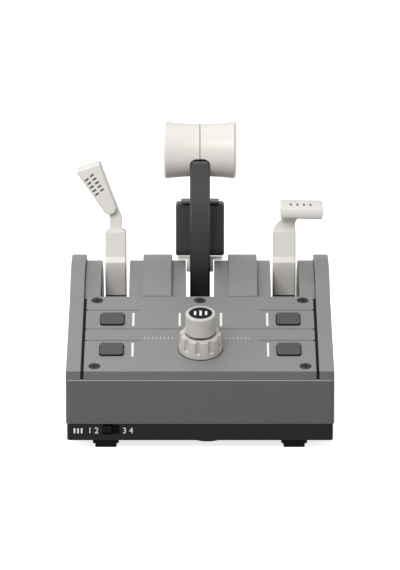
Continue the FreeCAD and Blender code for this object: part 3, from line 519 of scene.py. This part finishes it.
@dataclass(frozen=True)
class Metal(Stuff):
    """Bare metal, brushed along X."""

    roughness: float = 0.32
    brush: Triple = (60.0, 2400.0, 2400.0)
    brush_depth: float = 0.00003

    def build(self) -> bpy.types.Material:
        """Build the finish.

        Returns:
            The material.
        """
        g = self.graph()
        stretch = g.add("ShaderNodeMapping", {}, {"Vector": g.coords(), "Scale": self.brush})
        noise = g.add("ShaderNodeTexNoise", {}, {"Vector": stretch.outputs[0], "Scale": 1.0})
        lines = g.sock(noise.outputs["Fac"])
        stain = g.noise(120.0, detail=4.0)
        return g.surface({"Base Color": self.shade(g, stain, 0.88, 1.05), "Metallic": 1.0,
                          "Roughness": spread(self.roughness, lines, 0.2),
                          "Normal": g.bump(lines, self.brush_depth)})


@dataclass(frozen=True)
class Rubber(Stuff):
    """Soft matt rubber, a little dusty."""

    roughness: float = 0.86
    specular: float = 0.1
    dust_depth: float = 0.00008

    def build(self) -> bpy.types.Material:
        """Build the finish.

        Returns:
            The material.
        """
        g = self.graph()
        dust = g.noise(260.0, detail=5.0, roughness=0.7)
        return g.surface({"Base Color": self.shade(g, dust.step(0.5, 0.8), 1.0, 2.0),
                          "Roughness": spread(self.roughness, dust, 0.1),
                          "Specular IOR Level": self.specular, "Normal": g.bump(dust, self.dust_depth)})


@dataclass(frozen=True)
class Board(Stuff):
    """Solder mask with copper tracks showing under it."""

    roughness: float = 0.3
    track_scale: float = 180.0
    track_edge: Pair = (0.18, 0.22)
    track_depth: float = 0.00004

    def build(self) -> bpy.types.Material:
        """Build the finish.

        Returns:
            The material.
        """
        g = self.graph()
        cells = g.add("ShaderNodeTexVoronoi", {"distance": "MANHATTAN"},
                      {"Vector": g.coords(), "Scale": self.track_scale, "Randomness": 0.55})
        mask = g.sock(cells.outputs["Distance"]).step(*self.track_edge)
        return g.surface({"Base Color": self.shade(g, mask, 1.7, 1.0),
                          "Roughness": self.roughness + mask * 0.1,
                          "Normal": g.bump(mask, self.track_depth)})


@dataclass(frozen=True)
class Felt(Stuff):
    """Pressed felt."""

    roughness: float = 0.95
    fibre_depth: float = 0.0002

    def build(self) -> bpy.types.Material:
        """Build the finish.

        Returns:
            The material.
        """
        g = self.graph()
        fibre = g.noise(2200.0, detail=4.0, roughness=0.7)
        return g.surface({"Base Color": self.shade(g, fibre, 0.75, 1.15), "Roughness": self.roughness,
                          "Normal": g.bump(fibre, self.fibre_depth)})


@dataclass(frozen=True)
class Ink(Stuff):
    """Pad-printed ink, a little worn."""

    roughness: float = 0.5

    def build(self) -> bpy.types.Material:
        """Build the finish.

        Returns:
            The material.
        """
        g = self.graph()
        wear = g.noise(900.0)
        return g.surface({"Base Color": self.shade(g, wear, 0.93, 1.0),
                          "Roughness": spread(self.roughness, wear, 0.1)})


# A button's side gets painted shade up to this height out of the panel, in millimetres.
BUTTON_SHADE_W = 1.056
IVORY_PLASTIC = Moulded("ivory", (0.77, 0.735, 0.69, 1.0), 0.36, grain=900.0,
                        grain_depth=0.00002, mottle=0.012)


class Finish(Enum):
    """Every finish of the quadrant."""

    # The case grey turns dark below 52 mm up: painted shade on the front bevel and the lower faces.
    CASE = Moulded("case_grey", grey(0.225), 0.46, 0.5, painted_shade_colour=grey(0.062), painted_shade_top=0.052)
    # A darker copy of the case grey for the front: painted shade on the front face, with a painted
    # highlight along its top edge.
    CASE_SHADED = Moulded("case_front_shaded", (0.106, 0.106, 0.105, 1.0), 0.55, 0.25, painted_highlight_z=0.047)
    STRIP = Moulded("strip_grey", grey(0.222), 0.44, 0.5)
    BLACK = Moulded("black_plastic", (0.017, 0.017, 0.0165, 1.0), 0.5, 0.25, mottle=0.08)
    TRAY = Moulded("tray_black", (0.018, 0.018, 0.0175, 1.0), 0.6, 0.1, mottle=0.08)
    BLOCK = Moulded("block_black", grey(0.034), 0.42, 0.3, mottle=0.08)
    IVORY = IVORY_PLASTIC
    # The stems are near black below 77 mm up: painted shade where they go down into the slot.
    LEVER = replace(IVORY_PLASTIC, name="ivory_lever", painted_shade_colour=grey(0.01), painted_shade_top=0.077)
    # A dark line at the grips' seam: painted shade in the groove between the halves.
    GRIP = replace(IVORY_PLASTIC, name="ivory_grip", seam_shade_half=0.0003)
    KNOB = Knurled("ivory_knurled", (0.6, 0.57, 0.53, 1.0), tuple(SLOPE.knob(0.0).translation), SLOPE.tilt)
    RING = Moulded("ivory_ring", (0.57, 0.54, 0.5, 1.0), 0.4, grain=900.0, grain_depth=0.00003, mottle=0.02)
    # The buttons' sides are near black up to a set height out of the panel: painted shade.
    BUTTON = Moulded("button_grey", grey(0.066), 0.5, 0.3, painted_shade_colour=grey(0.008),
                     painted_shade_top=SLOPE.level(BUTTON_SHADE_W), painted_shade_up=SLOPE.normal())
    ARM = Painted("arm_black", grey(0.022))
    SCREW = Moulded("screw_black", grey(0.03), 0.5, 0.2)
    CAP = Moulded("cap_black", grey(0.008), 0.6, 0.1)
    WHITE = Moulded("white_part", (0.72, 0.72, 0.7, 1.0), 0.4)
    STEEL = Metal("steel", (0.56, 0.57, 0.58, 1.0))
    MAGNET = Metal("magnet", (0.62, 0.61, 0.6, 1.0), 0.18)
    RUBBER = Rubber("rubber", grey(0.012))
    BOARD = Board("board", (0.02, 0.13, 0.05, 1.0))
    FELT = Felt("felt", (0.6, 0.57, 0.5, 1.0))
    INK = Ink("white_ink", (0.86, 0.86, 0.85, 1.0))
    FINE_INK = Ink("fine_ink", (0.55, 0.55, 0.54, 1.0))
    BLACK_INK = Ink("black_ink", grey(0.03))


class Paint:
    """Builds each finish once and lends it out."""

    def __init__(self) -> None:
        """Start with no finishes built."""
        self._made: dict[Finish, bpy.types.Material] = {}

    def get(self, finish: Finish) -> bpy.types.Material:
        """Build a finish the first time it is asked for.

        Args:
            finish: the finish.

        Returns:
            Its material.
        """
        if finish not in self._made:
            self._made[finish] = finish.value.build()
        return self._made[finish]


# ---- mesh helpers ---------------------------------------------------------------


CORNER_STEPS = 6
ROUND_STEPS = 64
# The size of type whose figures are one unit high.
TYPE_SIZE = 1.4
# Turns a mark that lies flat to face the front.
UPRIGHT = Matrix.Rotation(math.pi / 2, 4, "X")


def finished(bm: bmesh.types.BMesh, name: str) -> bpy.types.Mesh:
    """Turn a working mesh into a mesh.

    Args:
        bm: the working mesh, which is freed.
        name: the mesh's name.

    Returns:
        The mesh.
    """
    bmesh.ops.recalc_face_normals(bm, faces=bm.faces)
    mesh = bpy.data.meshes.new(name)
    bm.to_mesh(mesh)
    bm.free()
    return mesh


def slab(bm: bmesh.types.BMesh, place: Matrix, size: Triple) -> None:
    """Add a block.

    Args:
        bm: the mesh being built.
        place: the block's centre and turn.
        size: its full size in millimetres.
    """
    made = bmesh.ops.create_cube(bm, size=1.0)
    scale = Matrix.Diagonal((Vector(size) * MM).to_4d())
    bmesh.ops.transform(bm, matrix=place @ scale, verts=made["verts"])


def skin(bm: bmesh.types.BMesh, loops: list[list[bmesh.types.BMVert]]) -> None:
    """Join each closed loop of points to the next, and the last to the first.

    Args:
        bm: the mesh being built.
        loops: the loops, all with as many points.
    """
    for loop, after in zip(loops, loops[1:] + loops[:1]):
        for i in range(len(loop)):
            k = (i + 1) % len(loop)
            bm.faces.new((loop[i], loop[k], after[k], after[i]))


def wall_ring(bm: bmesh.types.BMesh, place: Matrix, half: Pair, radius: float, thick: float,
              depth: float) -> None:
    """Add a thin wall round a rounded window, all sizes in millimetres.

    Args:
        bm: the mesh being built.
        place: the window's centre at its rim, z out of it.
        half: half the window's width and height.
        radius: the window's corner radius.
        thick: the wall's thickness, measured inwards.
        depth: how far the wall goes down.
    """
    loops = []
    for inset, z in ((0.0, 0.0), (0.0, -depth), (thick, -depth), (thick, 0.0)):
        loop = []
        for corner, (sx, sy) in enumerate(((1, 1), (-1, 1), (-1, -1), (1, -1))):
            for step in range(CORNER_STEPS + 1):
                turn = math.radians(90.0) * (corner + step / CORNER_STEPS)
                x = sx * (half[0] - radius) + (radius - inset) * math.cos(turn)
                y = sy * (half[1] - radius) + (radius - inset) * math.sin(turn)
                loop.append(bm.verts.new(place @ (Vector((x, y, z)) * MM)))
        loops.append(loop)
    skin(bm, loops)


def turned(bm: bmesh.types.BMesh, place: Matrix, section: list[Pair]) -> None:
    """Add a ring turned from a closed section.

    Args:
        bm: the mesh being built.
        place: the ring's centre, z along its axis.
        section: radius and height of each corner, in millimetres.
    """
    loops = []
    for step in range(ROUND_STEPS):
        spin = place @ Matrix.Rotation(math.tau * step / ROUND_STEPS, 4, "Z")
        loops.append([bm.verts.new(spin @ (Vector((r, 0.0, z)) * MM)) for r, z in section])
    skin(bm, loops)


def figures(text: str, height: float, depth: float, place: Matrix) -> bpy.types.Mesh:
    """Return plain figures as a thin mesh.

    Args:
        text: the figures.
        height: their height in millimetres.
        depth: their thickness in millimetres.
        place: where they go: x along the line, y up it, z off the surface.

    Returns:
        The mesh.
    """
    curve = bpy.data.curves.new("figures", "FONT")
    curve.body = text
    curve.size = height * MM * TYPE_SIZE
    curve.align_x = "CENTER"
    curve.align_y = "CENTER"
    curve.extrude = depth * MM / 2.0
    holder = bpy.data.objects.new("figures", curve)
    bpy.context.scene.collection.objects.link(holder)
    mesh = bpy.data.meshes.new_from_object(holder.evaluated_get(bpy.context.evaluated_depsgraph_get()))
    bpy.data.objects.remove(holder)
    bpy.data.curves.remove(curve)
    mesh.transform(place)
    return mesh


@dataclass
class Workshop:
    """What every sub-assembly needs: the frame, the finishes and the common mesh jobs.

    Gaps are in millimetres and angles in degrees.
    """

    frame: dict[str, Any]
    paint: Paint
    weld_gap: float = 0.01
    flat_angle: float = 0.3
    round_angle: float = 28.0
    crease_angle: float = 36.0
    edge_steps: int = 3
    face_weight: int = 80
    count: int = 0

    def dress(self, finish: Finish, edge: float, *nodes: str) -> None:
        """Give frame nodes their finish, soft edges and smooth shading.

        Args:
            finish: their finish.
            edge: width of their rounded edges in millimetres, 0 for none.
            nodes: their names.
        """
        for node in nodes:
            obj = self.frame["nodes"][node]
            obj.data.materials.clear()
            obj.data.materials.append(self.paint.get(finish))
            self._soften(obj, edge)
            self.count += 1
            log.info("dressed %s in %s", node, finish.value.name)

    def _soften(self, obj: bpy.types.Object, edge: float) -> None:
        """Round a node's edges and shade it smooth.

        Args:
            obj: the node's object.
            edge: width of the rounded edges in millimetres, 0 for none.
        """
        weld = obj.modifiers.new("weld", "WELD")
        weld.merge_threshold = self.weld_gap * MM
        flat = obj.modifiers.new("flat_faces", "DECIMATE")
        flat.decimate_type = "DISSOLVE"
        flat.angle_limit = math.radians(self.flat_angle)
        if edge > 0.0:
            bevel = obj.modifiers.new("soft_edges", "BEVEL")
            bevel.width = edge * MM
            bevel.segments = self.edge_steps
            bevel.limit_method = "ANGLE"
            bevel.angle_limit = math.radians(self.round_angle)
            bevel.use_clamp_overlap = True
        obj.data.shade_smooth()
        obj.data.set_sharp_from_angle(angle=math.radians(self.crease_angle))
        even = obj.modifiers.new("even_shading", "WEIGHTED_NORMAL")
        even.keep_sharp = True
        even.weight = self.face_weight

    def piece(self, name: str, mesh: bpy.types.Mesh, finish: Finish, body: str, slot: str) -> None:
        """Place a new piece on a body.

        Args:
            name: the piece's name.
            mesh: its mesh, in the quadrant's own frame.
            finish: its finish.
            body: the body it rides on.
            slot: not used.
        """
        obj = bpy.data.objects.new(name, mesh)
        bpy.context.scene.collection.objects.link(obj)
        mesh.materials.clear()
        mesh.materials.append(self.paint.get(finish))
        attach(obj, body)
        self.count += 1
        log.info("made %s", name)

    def marks(self, name: str, blocks: list[tuple[Matrix, Triple]], finish: Finish, body: str,
              slot: str) -> None:
        """Place plain thin blocks on a body, as one piece.

        Args:
            name: the piece's name.
            blocks: each block's place, and its size in millimetres.
            finish: their finish.
            body: the body they ride on.
            slot: not used.
        """
        bm = bmesh.new()
        for place, size in blocks:
            slab(bm, place, size)
        self.piece(name, finished(bm, name), finish, body, slot)


# ---- sub-assemblies -------------------------------------------------------------


@dataclass
class Case:
    """Tray, grey case, cheeks, drum, what is inside, and the marks beside the slide switch.

    Sizes and places are in millimetres.
    """

    shop: Workshop
    ink_depth: float = 0.06
    mark_z: float = 12.1
    figures_x: tuple[tuple[str, str, float], ...] = (("left", "1 2", -71.6), ("right", "3 4", -48.4))
    figure_height: float = 4.1
    bars_x: tuple[float, ...] = (-84.2, -81.8, -79.4)
    bar_size: Pair = (1.1, 3.4)

    def build(self) -> None:
        """Dress every fixed node and print the marks."""
        dress = self.shop.dress
        # The front is dressed in a darker copy of the case grey, which is painted shade.
        dress(Finish.CASE_SHADED, 0.5, "lower_case")
        dress(Finish.CASE, 0.5, "side_cover_left", "side_cover_right", "drum_cover", "front_panel")
        dress(Finish.STRIP, 0.5, "raised_strip_left", "raised_strip_right")
        dress(Finish.TRAY, 0.25, "base_tray")
        dress(Finish.CAP, 0.15, "engine_switch_body")
        dress(Finish.BLACK, 0.25, "slot_liner_left", "slot_liner_centre", "slot_liner_right",
              "accessory_socket_left", "accessory_socket_right", "encoder_body", "tact_switches")
        dress(Finish.RUBBER, 0.3, "rubber_feet")
        dress(Finish.SCREW, 0.12, "panel_screws")
        dress(Finish.STEEL, 0.15, "base_screws", "lever_frame", "frame_screws", "pivot_axle",
              "axle_circlips", "ballast_plate", "usb_socket")
        dress(Finish.BOARD, 0.0, "panel_board", "main_board", "port_board", "sensor_boards")
        dress(Finish.FELT, 0.1, "friction_washers")
        dress(Finish.WHITE, 0.15, "axle_spacers", "flap_detent_plate", "flap_detent_pin")
        self._switch_marks()

    def _on_tray(self, x: float) -> Matrix:
        """Return the frame of a mark on the tray's front, its z axis out of it."""
        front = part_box("base_tray")[0].y / MM
        return Matrix.Translation(Vector((x, front - self.ink_depth / 2.0, self.mark_z)) * MM) @ UPRIGHT

    def _switch_marks(self) -> None:
        """Print two pairs of plain figures and three bars beside the slide switch."""
        for side, text, x in self.figures_x:
            mesh = figures(text, self.figure_height, self.ink_depth, self._on_tray(x))
            self.shop.piece(f"switch_figures_{side}", mesh, Finish.INK, "case", "white_part")
        blocks = [(self._on_tray(x), (*self.bar_size, self.ink_depth)) for x in self.bars_x]
        self.shop.marks("switch_bars", blocks, Finish.INK, "case", "white_part")


@dataclass
class Panel:
    """The controls on the slope, with its printed bars and ticks, and black pieces that stand for the shade
    in the button wells, in the slits and under the ring.

    Sizes and places are in millimetres. A row of bars has a lower end, an upper end and its bars' places.
    """

    shop: Workshop
    ink_depth: float = 0.08
    bar_width: float = 1.5
    bar_rows: tuple[tuple[float, float, tuple[float, ...]], ...] = (
        (59.8, 77.4, (-45.6, -13.9, 14.4, 46.0)),
        (19.4, 37.2, (-45.6, 46.0)),
    )
    tick_starts: Pair = (-37.6, 14.6)
    tick_count: int = 8
    tick_pitch: float = 2.7
    tick_v: float = 43.6
    tick_size: Pair = (0.5, 2.9)
    wells: tuple[Pair, ...] = ((-59.9, 68.6), (60.3, 68.6), (-59.7, 28.2), (60.1, 28.2))
    well_half: Pair = (8.45, 8.25)
    well_radius: float = 2.55
    well_shade_top: float = -0.12
    well_shade_thick: float = 0.14
    well_shade_depth: float = 2.6
    slit_shade_x: float = 79.0
    slit_shade_v: float = 50.1
    slit_shade_w: float = -1.5
    slit_shade_size: Triple = (1.86, 97.8, 0.6)
    bevel_slit_shade_v: float = 3.2
    bevel_slit_shade_w: float = -1.6
    bevel_slit_shade_size: Triple = (1.86, 5.4, 0.6)
    ring_shadow_section: tuple[Pair, ...] = ((12.2, 0.02), (15.1, 0.02), (15.1, 0.26), (12.2, 0.3))
    cap_w: float = 28.33
    cap_ink: float = 0.05
    cap_pitch: float = 3.7
    cap_bars: tuple[tuple[int, float], ...] = ((-1, 5.0), (0, 6.2), (1, 5.0))

    def build(self) -> None:
        """Dress the controls, and add what is printed on the panel and the black pieces of painted shade
        laid in it.
        """
        dress = self.shop.dress
        for side in ("left", "right"):
            dress(Finish.BUTTON, 0.2, f"button_upper_{side}", f"button_lower_{side}")
        dress(Finish.RING, 0.4, "selector_ring")
        dress(Finish.KNOB, 0.0, "encoder_knob")
        dress(Finish.CAP, 0.0, "select_cap")
        dress(Finish.CAP, 0.15, "engine_slider")
        self._bars()
        self._well_shade()
        self._slit_shade()
        self._ticks()
        self._ring_shadow()
        self._cap_marks()

    def _bars(self) -> None:
        """Print the white bars of both rows."""
        blocks = []
        for low, high, across in self.bar_rows:
            for x in across:
                place = SLOPE.place(x, (low + high) / 2.0, self.ink_depth / 2.0)
                blocks.append((place, (self.bar_width, high - low, self.ink_depth)))
        self.shop.marks("panel_bars", blocks, Finish.INK, "case", "white_part")

    def _well_shade(self) -> None:
        """Line each button's window with a black wall, a dark sheet that stands for the shade in the gap
        round the button.
        """
        bm = bmesh.new()
        for x, v in self.wells:
            rim = SLOPE.place(x, v, self.well_shade_top)
            wall_ring(bm, rim, self.well_half, self.well_radius, self.well_shade_thick, self.well_shade_depth)
        self.shop.piece("button_well_shade", finished(bm, "button_well_shade"), Finish.CAP, "case", "black_plastic")

    def _slit_shade(self) -> None:
        """Lay a black strip in the slit on each side of the panel and of its bevel, standing for the shade
        in the slit.
        """
        blocks = []
        for x in (-self.slit_shade_x, self.slit_shade_x):
            blocks.append((SLOPE.place(x, self.slit_shade_v, self.slit_shade_w), self.slit_shade_size))
            blocks.append((SLOPE.bevel(x, self.bevel_slit_shade_v, self.bevel_slit_shade_w), self.bevel_slit_shade_size))
        self.shop.marks("panel_slit_shade", blocks, Finish.CAP, "case", "black_plastic")

    def _ticks(self) -> None:
        """Print a row of fine plain ticks on each side of the knob."""
        blocks = []
        for start in self.tick_starts:
            for i in range(self.tick_count):
                place = SLOPE.place(start + self.tick_pitch * i, self.tick_v, self.ink_depth / 2.0)
                blocks.append((place, (*self.tick_size, self.ink_depth)))
        self.shop.marks("row_ticks", blocks, Finish.FINE_INK, "case", "white_part")

    def _ring_shadow(self) -> None:
        """Lay a black disc under the selector ring, standing for the shadow where the ring meets the panel.
        """
        bm = bmesh.new()
        turned(bm, SLOPE.knob(0.0), list(self.ring_shadow_section))
        self.shop.piece("ring_shadow_disc", finished(bm, "ring_shadow_disc"), Finish.CAP, "case", "black_plastic")

    def _cap_marks(self) -> None:
        """Print three plain bars on the push cap."""
        top = SLOPE.knob(self.cap_w)
        blocks = []
        for i, length in self.cap_bars:
            shift = Matrix.Translation((self.cap_pitch * i * MM, 0.0, 0.0))
            blocks.append((top @ shift, (self.bar_width, length, self.cap_ink)))
        self.shop.marks("cap_bars", blocks, Finish.INK, "select_button", "white_part")


@dataclass
class Levers:
    """The three levers and the reverser, with the ticks on the paddle and the flap handle.

    Sizes and places are in millimetres, turns in degrees.
    """

    shop: Workshop
    ink_depth: float = 0.06
    paddle_turn: float = -55.3
    paddle_rows: tuple[Pair, ...] = ((-71.9, 157.3), (-75.5, 154.3))
    paddle_steps: tuple[float, ...] = (-2.0, -1.0, 0.0, 1.0, 2.0)
    paddle_pitch: float = 3.1
    paddle_tick: Pair = (1.2, 3.0)
    flap_face: Triple = (70.3, 35.1, 141.67)
    flap_slope: float = 10.8
    flap_roll: float = 1.5
    flap_steps: tuple[float, ...] = (-1.5, -0.5, 0.5, 1.5)
    flap_pitch: float = 4.6
    flap_tick: Pair = (1.3, 4.0)

    def build(self) -> None:
        """Dress every moving node of the levers and print the ticks."""
        dress = self.shop.dress
        dress(Finish.LEVER, 0.4, "speedbrake_stem", "flap_stem")
        dress(Finish.IVORY, 0.4, "reverser_bracket")
        dress(Finish.IVORY, 0.0, "speedbrake_paddle", "flap_handle")
        dress(Finish.GRIP, 0.3, "grip_left", "grip_right")
        dress(Finish.ARM, 0.8, "throttle_arm")
        dress(Finish.ARM, 0.25, "reverser_web")
        dress(Finish.BLOCK, 0.0, "reverser_grip")
        dress(Finish.BLACK, 0.2, "grip_core", "grip_button_left", "grip_button_right")
        dress(Finish.STEEL, 0.1, "reverser_pin")
        dress(Finish.MAGNET, 0.1, "speedbrake_magnet", "throttle_magnet", "flap_magnet")
        self._paddle_ticks()
        self._flap_ticks()

    def _row(self, centre: Matrix, steps: tuple[float, ...], pitch: float,
             tick: Pair) -> list[tuple[Matrix, Triple]]:
        """Return a row of ticks.

        Args:
            centre: the row's frame, x along it.
            steps: where each tick stands, in pitches.
            pitch: from tick to tick, in millimetres.
            tick: each tick's width and length.

        Returns:
            Each tick's place and size.
        """
        row = []
        for step in steps:
            shift = Matrix.Translation((pitch * step * MM, 0.0, 0.0))
            row.append((centre @ shift, (*tick, self.ink_depth)))
        return row

    def _paddle_ticks(self) -> None:
        """Print two rows of plain ticks along the paddle's face."""
        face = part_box("speedbrake_paddle")[0].y / MM
        lean = Matrix.Rotation(math.radians(self.paddle_turn), 4, "Z")
        blocks = []
        for x, z in self.paddle_rows:
            centre = Matrix.Translation(Vector((x, face - self.ink_depth / 2.0, z)) * MM) @ UPRIGHT @ lean
            blocks += self._row(centre, self.paddle_steps, self.paddle_pitch, self.paddle_tick)
        self.shop.marks("paddle_ticks", blocks, Finish.BLACK_INK, "speedbrake", "black_plastic")

    def _flap_ticks(self) -> None:
        """Print a row of plain ticks on top of the flap handle."""
        roll = Matrix.Rotation(math.radians(self.flap_roll), 4, "Y")
        slope = Matrix.Rotation(math.radians(self.flap_slope), 4, "X")
        centre = Matrix.Translation(Vector(self.flap_face) * MM) @ roll @ slope
        blocks = self._row(centre, self.flap_steps, self.flap_pitch, self.flap_tick)
        self.shop.marks("flap_ticks", blocks, Finish.BLACK_INK, "flap", "black_plastic")


# ---- studio ---------------------------------------------------------------------


@dataclass(frozen=True)
class SoftBox:
    """A square lamp: its place and its side in metres, and its power in watts."""

    name: str
    place: Triple
    side: float
    power: float

    def hang(self, aim: Triple) -> None:
        """Add the lamp.

        Args:
            aim: the point that it faces.
        """
        lamp = bpy.data.lights.new(self.name, "AREA")
        lamp.shape = "SQUARE"
        lamp.size = self.side
        lamp.energy = self.power
        obj = bpy.data.objects.new(self.name, lamp)
        bpy.context.scene.collection.objects.link(obj)
        obj.location = self.place
        obj.rotation_mode = "QUATERNION"
        obj.rotation_quaternion = (Vector(aim) - Vector(self.place)).to_track_quat("-Z", "Y")


@dataclass
class Studio:
    """Pale floor and surround, soft light and the camera.

    Lengths are in metres, the lens and its sensor in millimetres, and angles in degrees.
    """

    distance: float = 2.8
    elevation: float = 11.0
    aim_height: float = 0.09135
    lens: float = 255.37
    sensor: float = 36.0
    clip: Pair = (0.1, 30.0)
    world_grey: float = 0.8
    world_level: float = 0.45
    floor_half: float = 6.0
    floor_lit: float = 0.8
    floor_shade: float = 0.3
    floor_glow: float = 0.8
    lamp_aim: Triple = (0.0, 0.0, 0.1)
    lamps: tuple[SoftBox, ...] = (
        SoftBox("top_box", (-0.25, 0.2, 1.4), 1.0, 3.5),
        SoftBox("front_box", (-0.4, -1.2, 1.1), 0.8, 16.5),
        SoftBox("left_box", (-1.3, -0.5, 0.7), 0.7, 4.5),
        SoftBox("right_box", (1.3, -0.3, 0.6), 0.7, 2.0),
        SoftBox("rear_box", (-1.1, 1.3, 0.9), 1.0, 8.0),
    )

    def build(self) -> None:
        """Set the stage."""
        self._world()
        self._floor()
        for lamp in self.lamps:
            lamp.hang(self.lamp_aim)
        self._camera()
        bpy.context.scene.view_settings.view_transform = "Standard"

    def _world(self) -> None:
        """Surround the quadrant with pale grey, dimmer as light than to the eye and in reflections."""
        world = bpy.data.worlds.new("studio")
        bpy.context.scene.world = world
        g = Graph(world)
        level = self.world_level + g.seen() * (1.0 - self.world_level)
        back = g.add("ShaderNodeBackground", {}, {"Color": grey(self.world_grey), "Strength": level})
        g.add("ShaderNodeOutputWorld", {}, {"Surface": back.outputs[0]})

    def _floor(self) -> None:
        """Lay a floor that looks white and keeps the object's shadow."""
        bm = bmesh.new()
        bmesh.ops.create_grid(bm, x_segments=2, y_segments=2, size=self.floor_half)
        floor = bpy.data.objects.new("floor", finished(bm, "floor"))
        bpy.context.scene.collection.objects.link(floor)
        g = Graph(bpy.data.materials.new("floor"))
        seen = g.seen()
        floor.data.materials.append(g.surface({
            "Base Color": g.mix(seen, grey(self.floor_shade), grey(self.floor_lit)),
            "Roughness": 0.9, "Specular IOR Level": 0.1,
            "Emission Color": g.mix(seen, grey(0.0), grey(1.0)), "Emission Strength": self.floor_glow}))

    def _camera(self) -> None:
        """Look along the quadrant's length from slightly above."""
        data = bpy.data.cameras.new("camera")
        data.lens = self.lens
        data.sensor_width = self.sensor
        data.clip_start, data.clip_end = self.clip
        cam = bpy.data.objects.new("camera", data)
        bpy.context.scene.collection.objects.link(cam)
        rise = math.radians(self.elevation)
        back = Vector((0.0, -math.cos(rise), math.sin(rise)))
        cam.location = Vector((0.0, 0.0, self.aim_height)) + back * self.distance
        cam.rotation_mode = "QUATERNION"
        cam.rotation_quaternion = (-back).to_track_quat("-Z", "Y")
        bpy.context.scene.camera = cam


def main() -> None:
    """Build the quadrant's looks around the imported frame."""
    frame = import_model()
    shop = Workshop(frame, Paint())
    for part in (Case(shop), Panel(shop), Levers(shop)):
        part.build()
        log.info("%s done", type(part).__name__)
    Studio().build()
    log.info("%d pieces", shop.count)


if __name__ == "__main__":
    logging.basicConfig(level=logging.INFO)
    main()
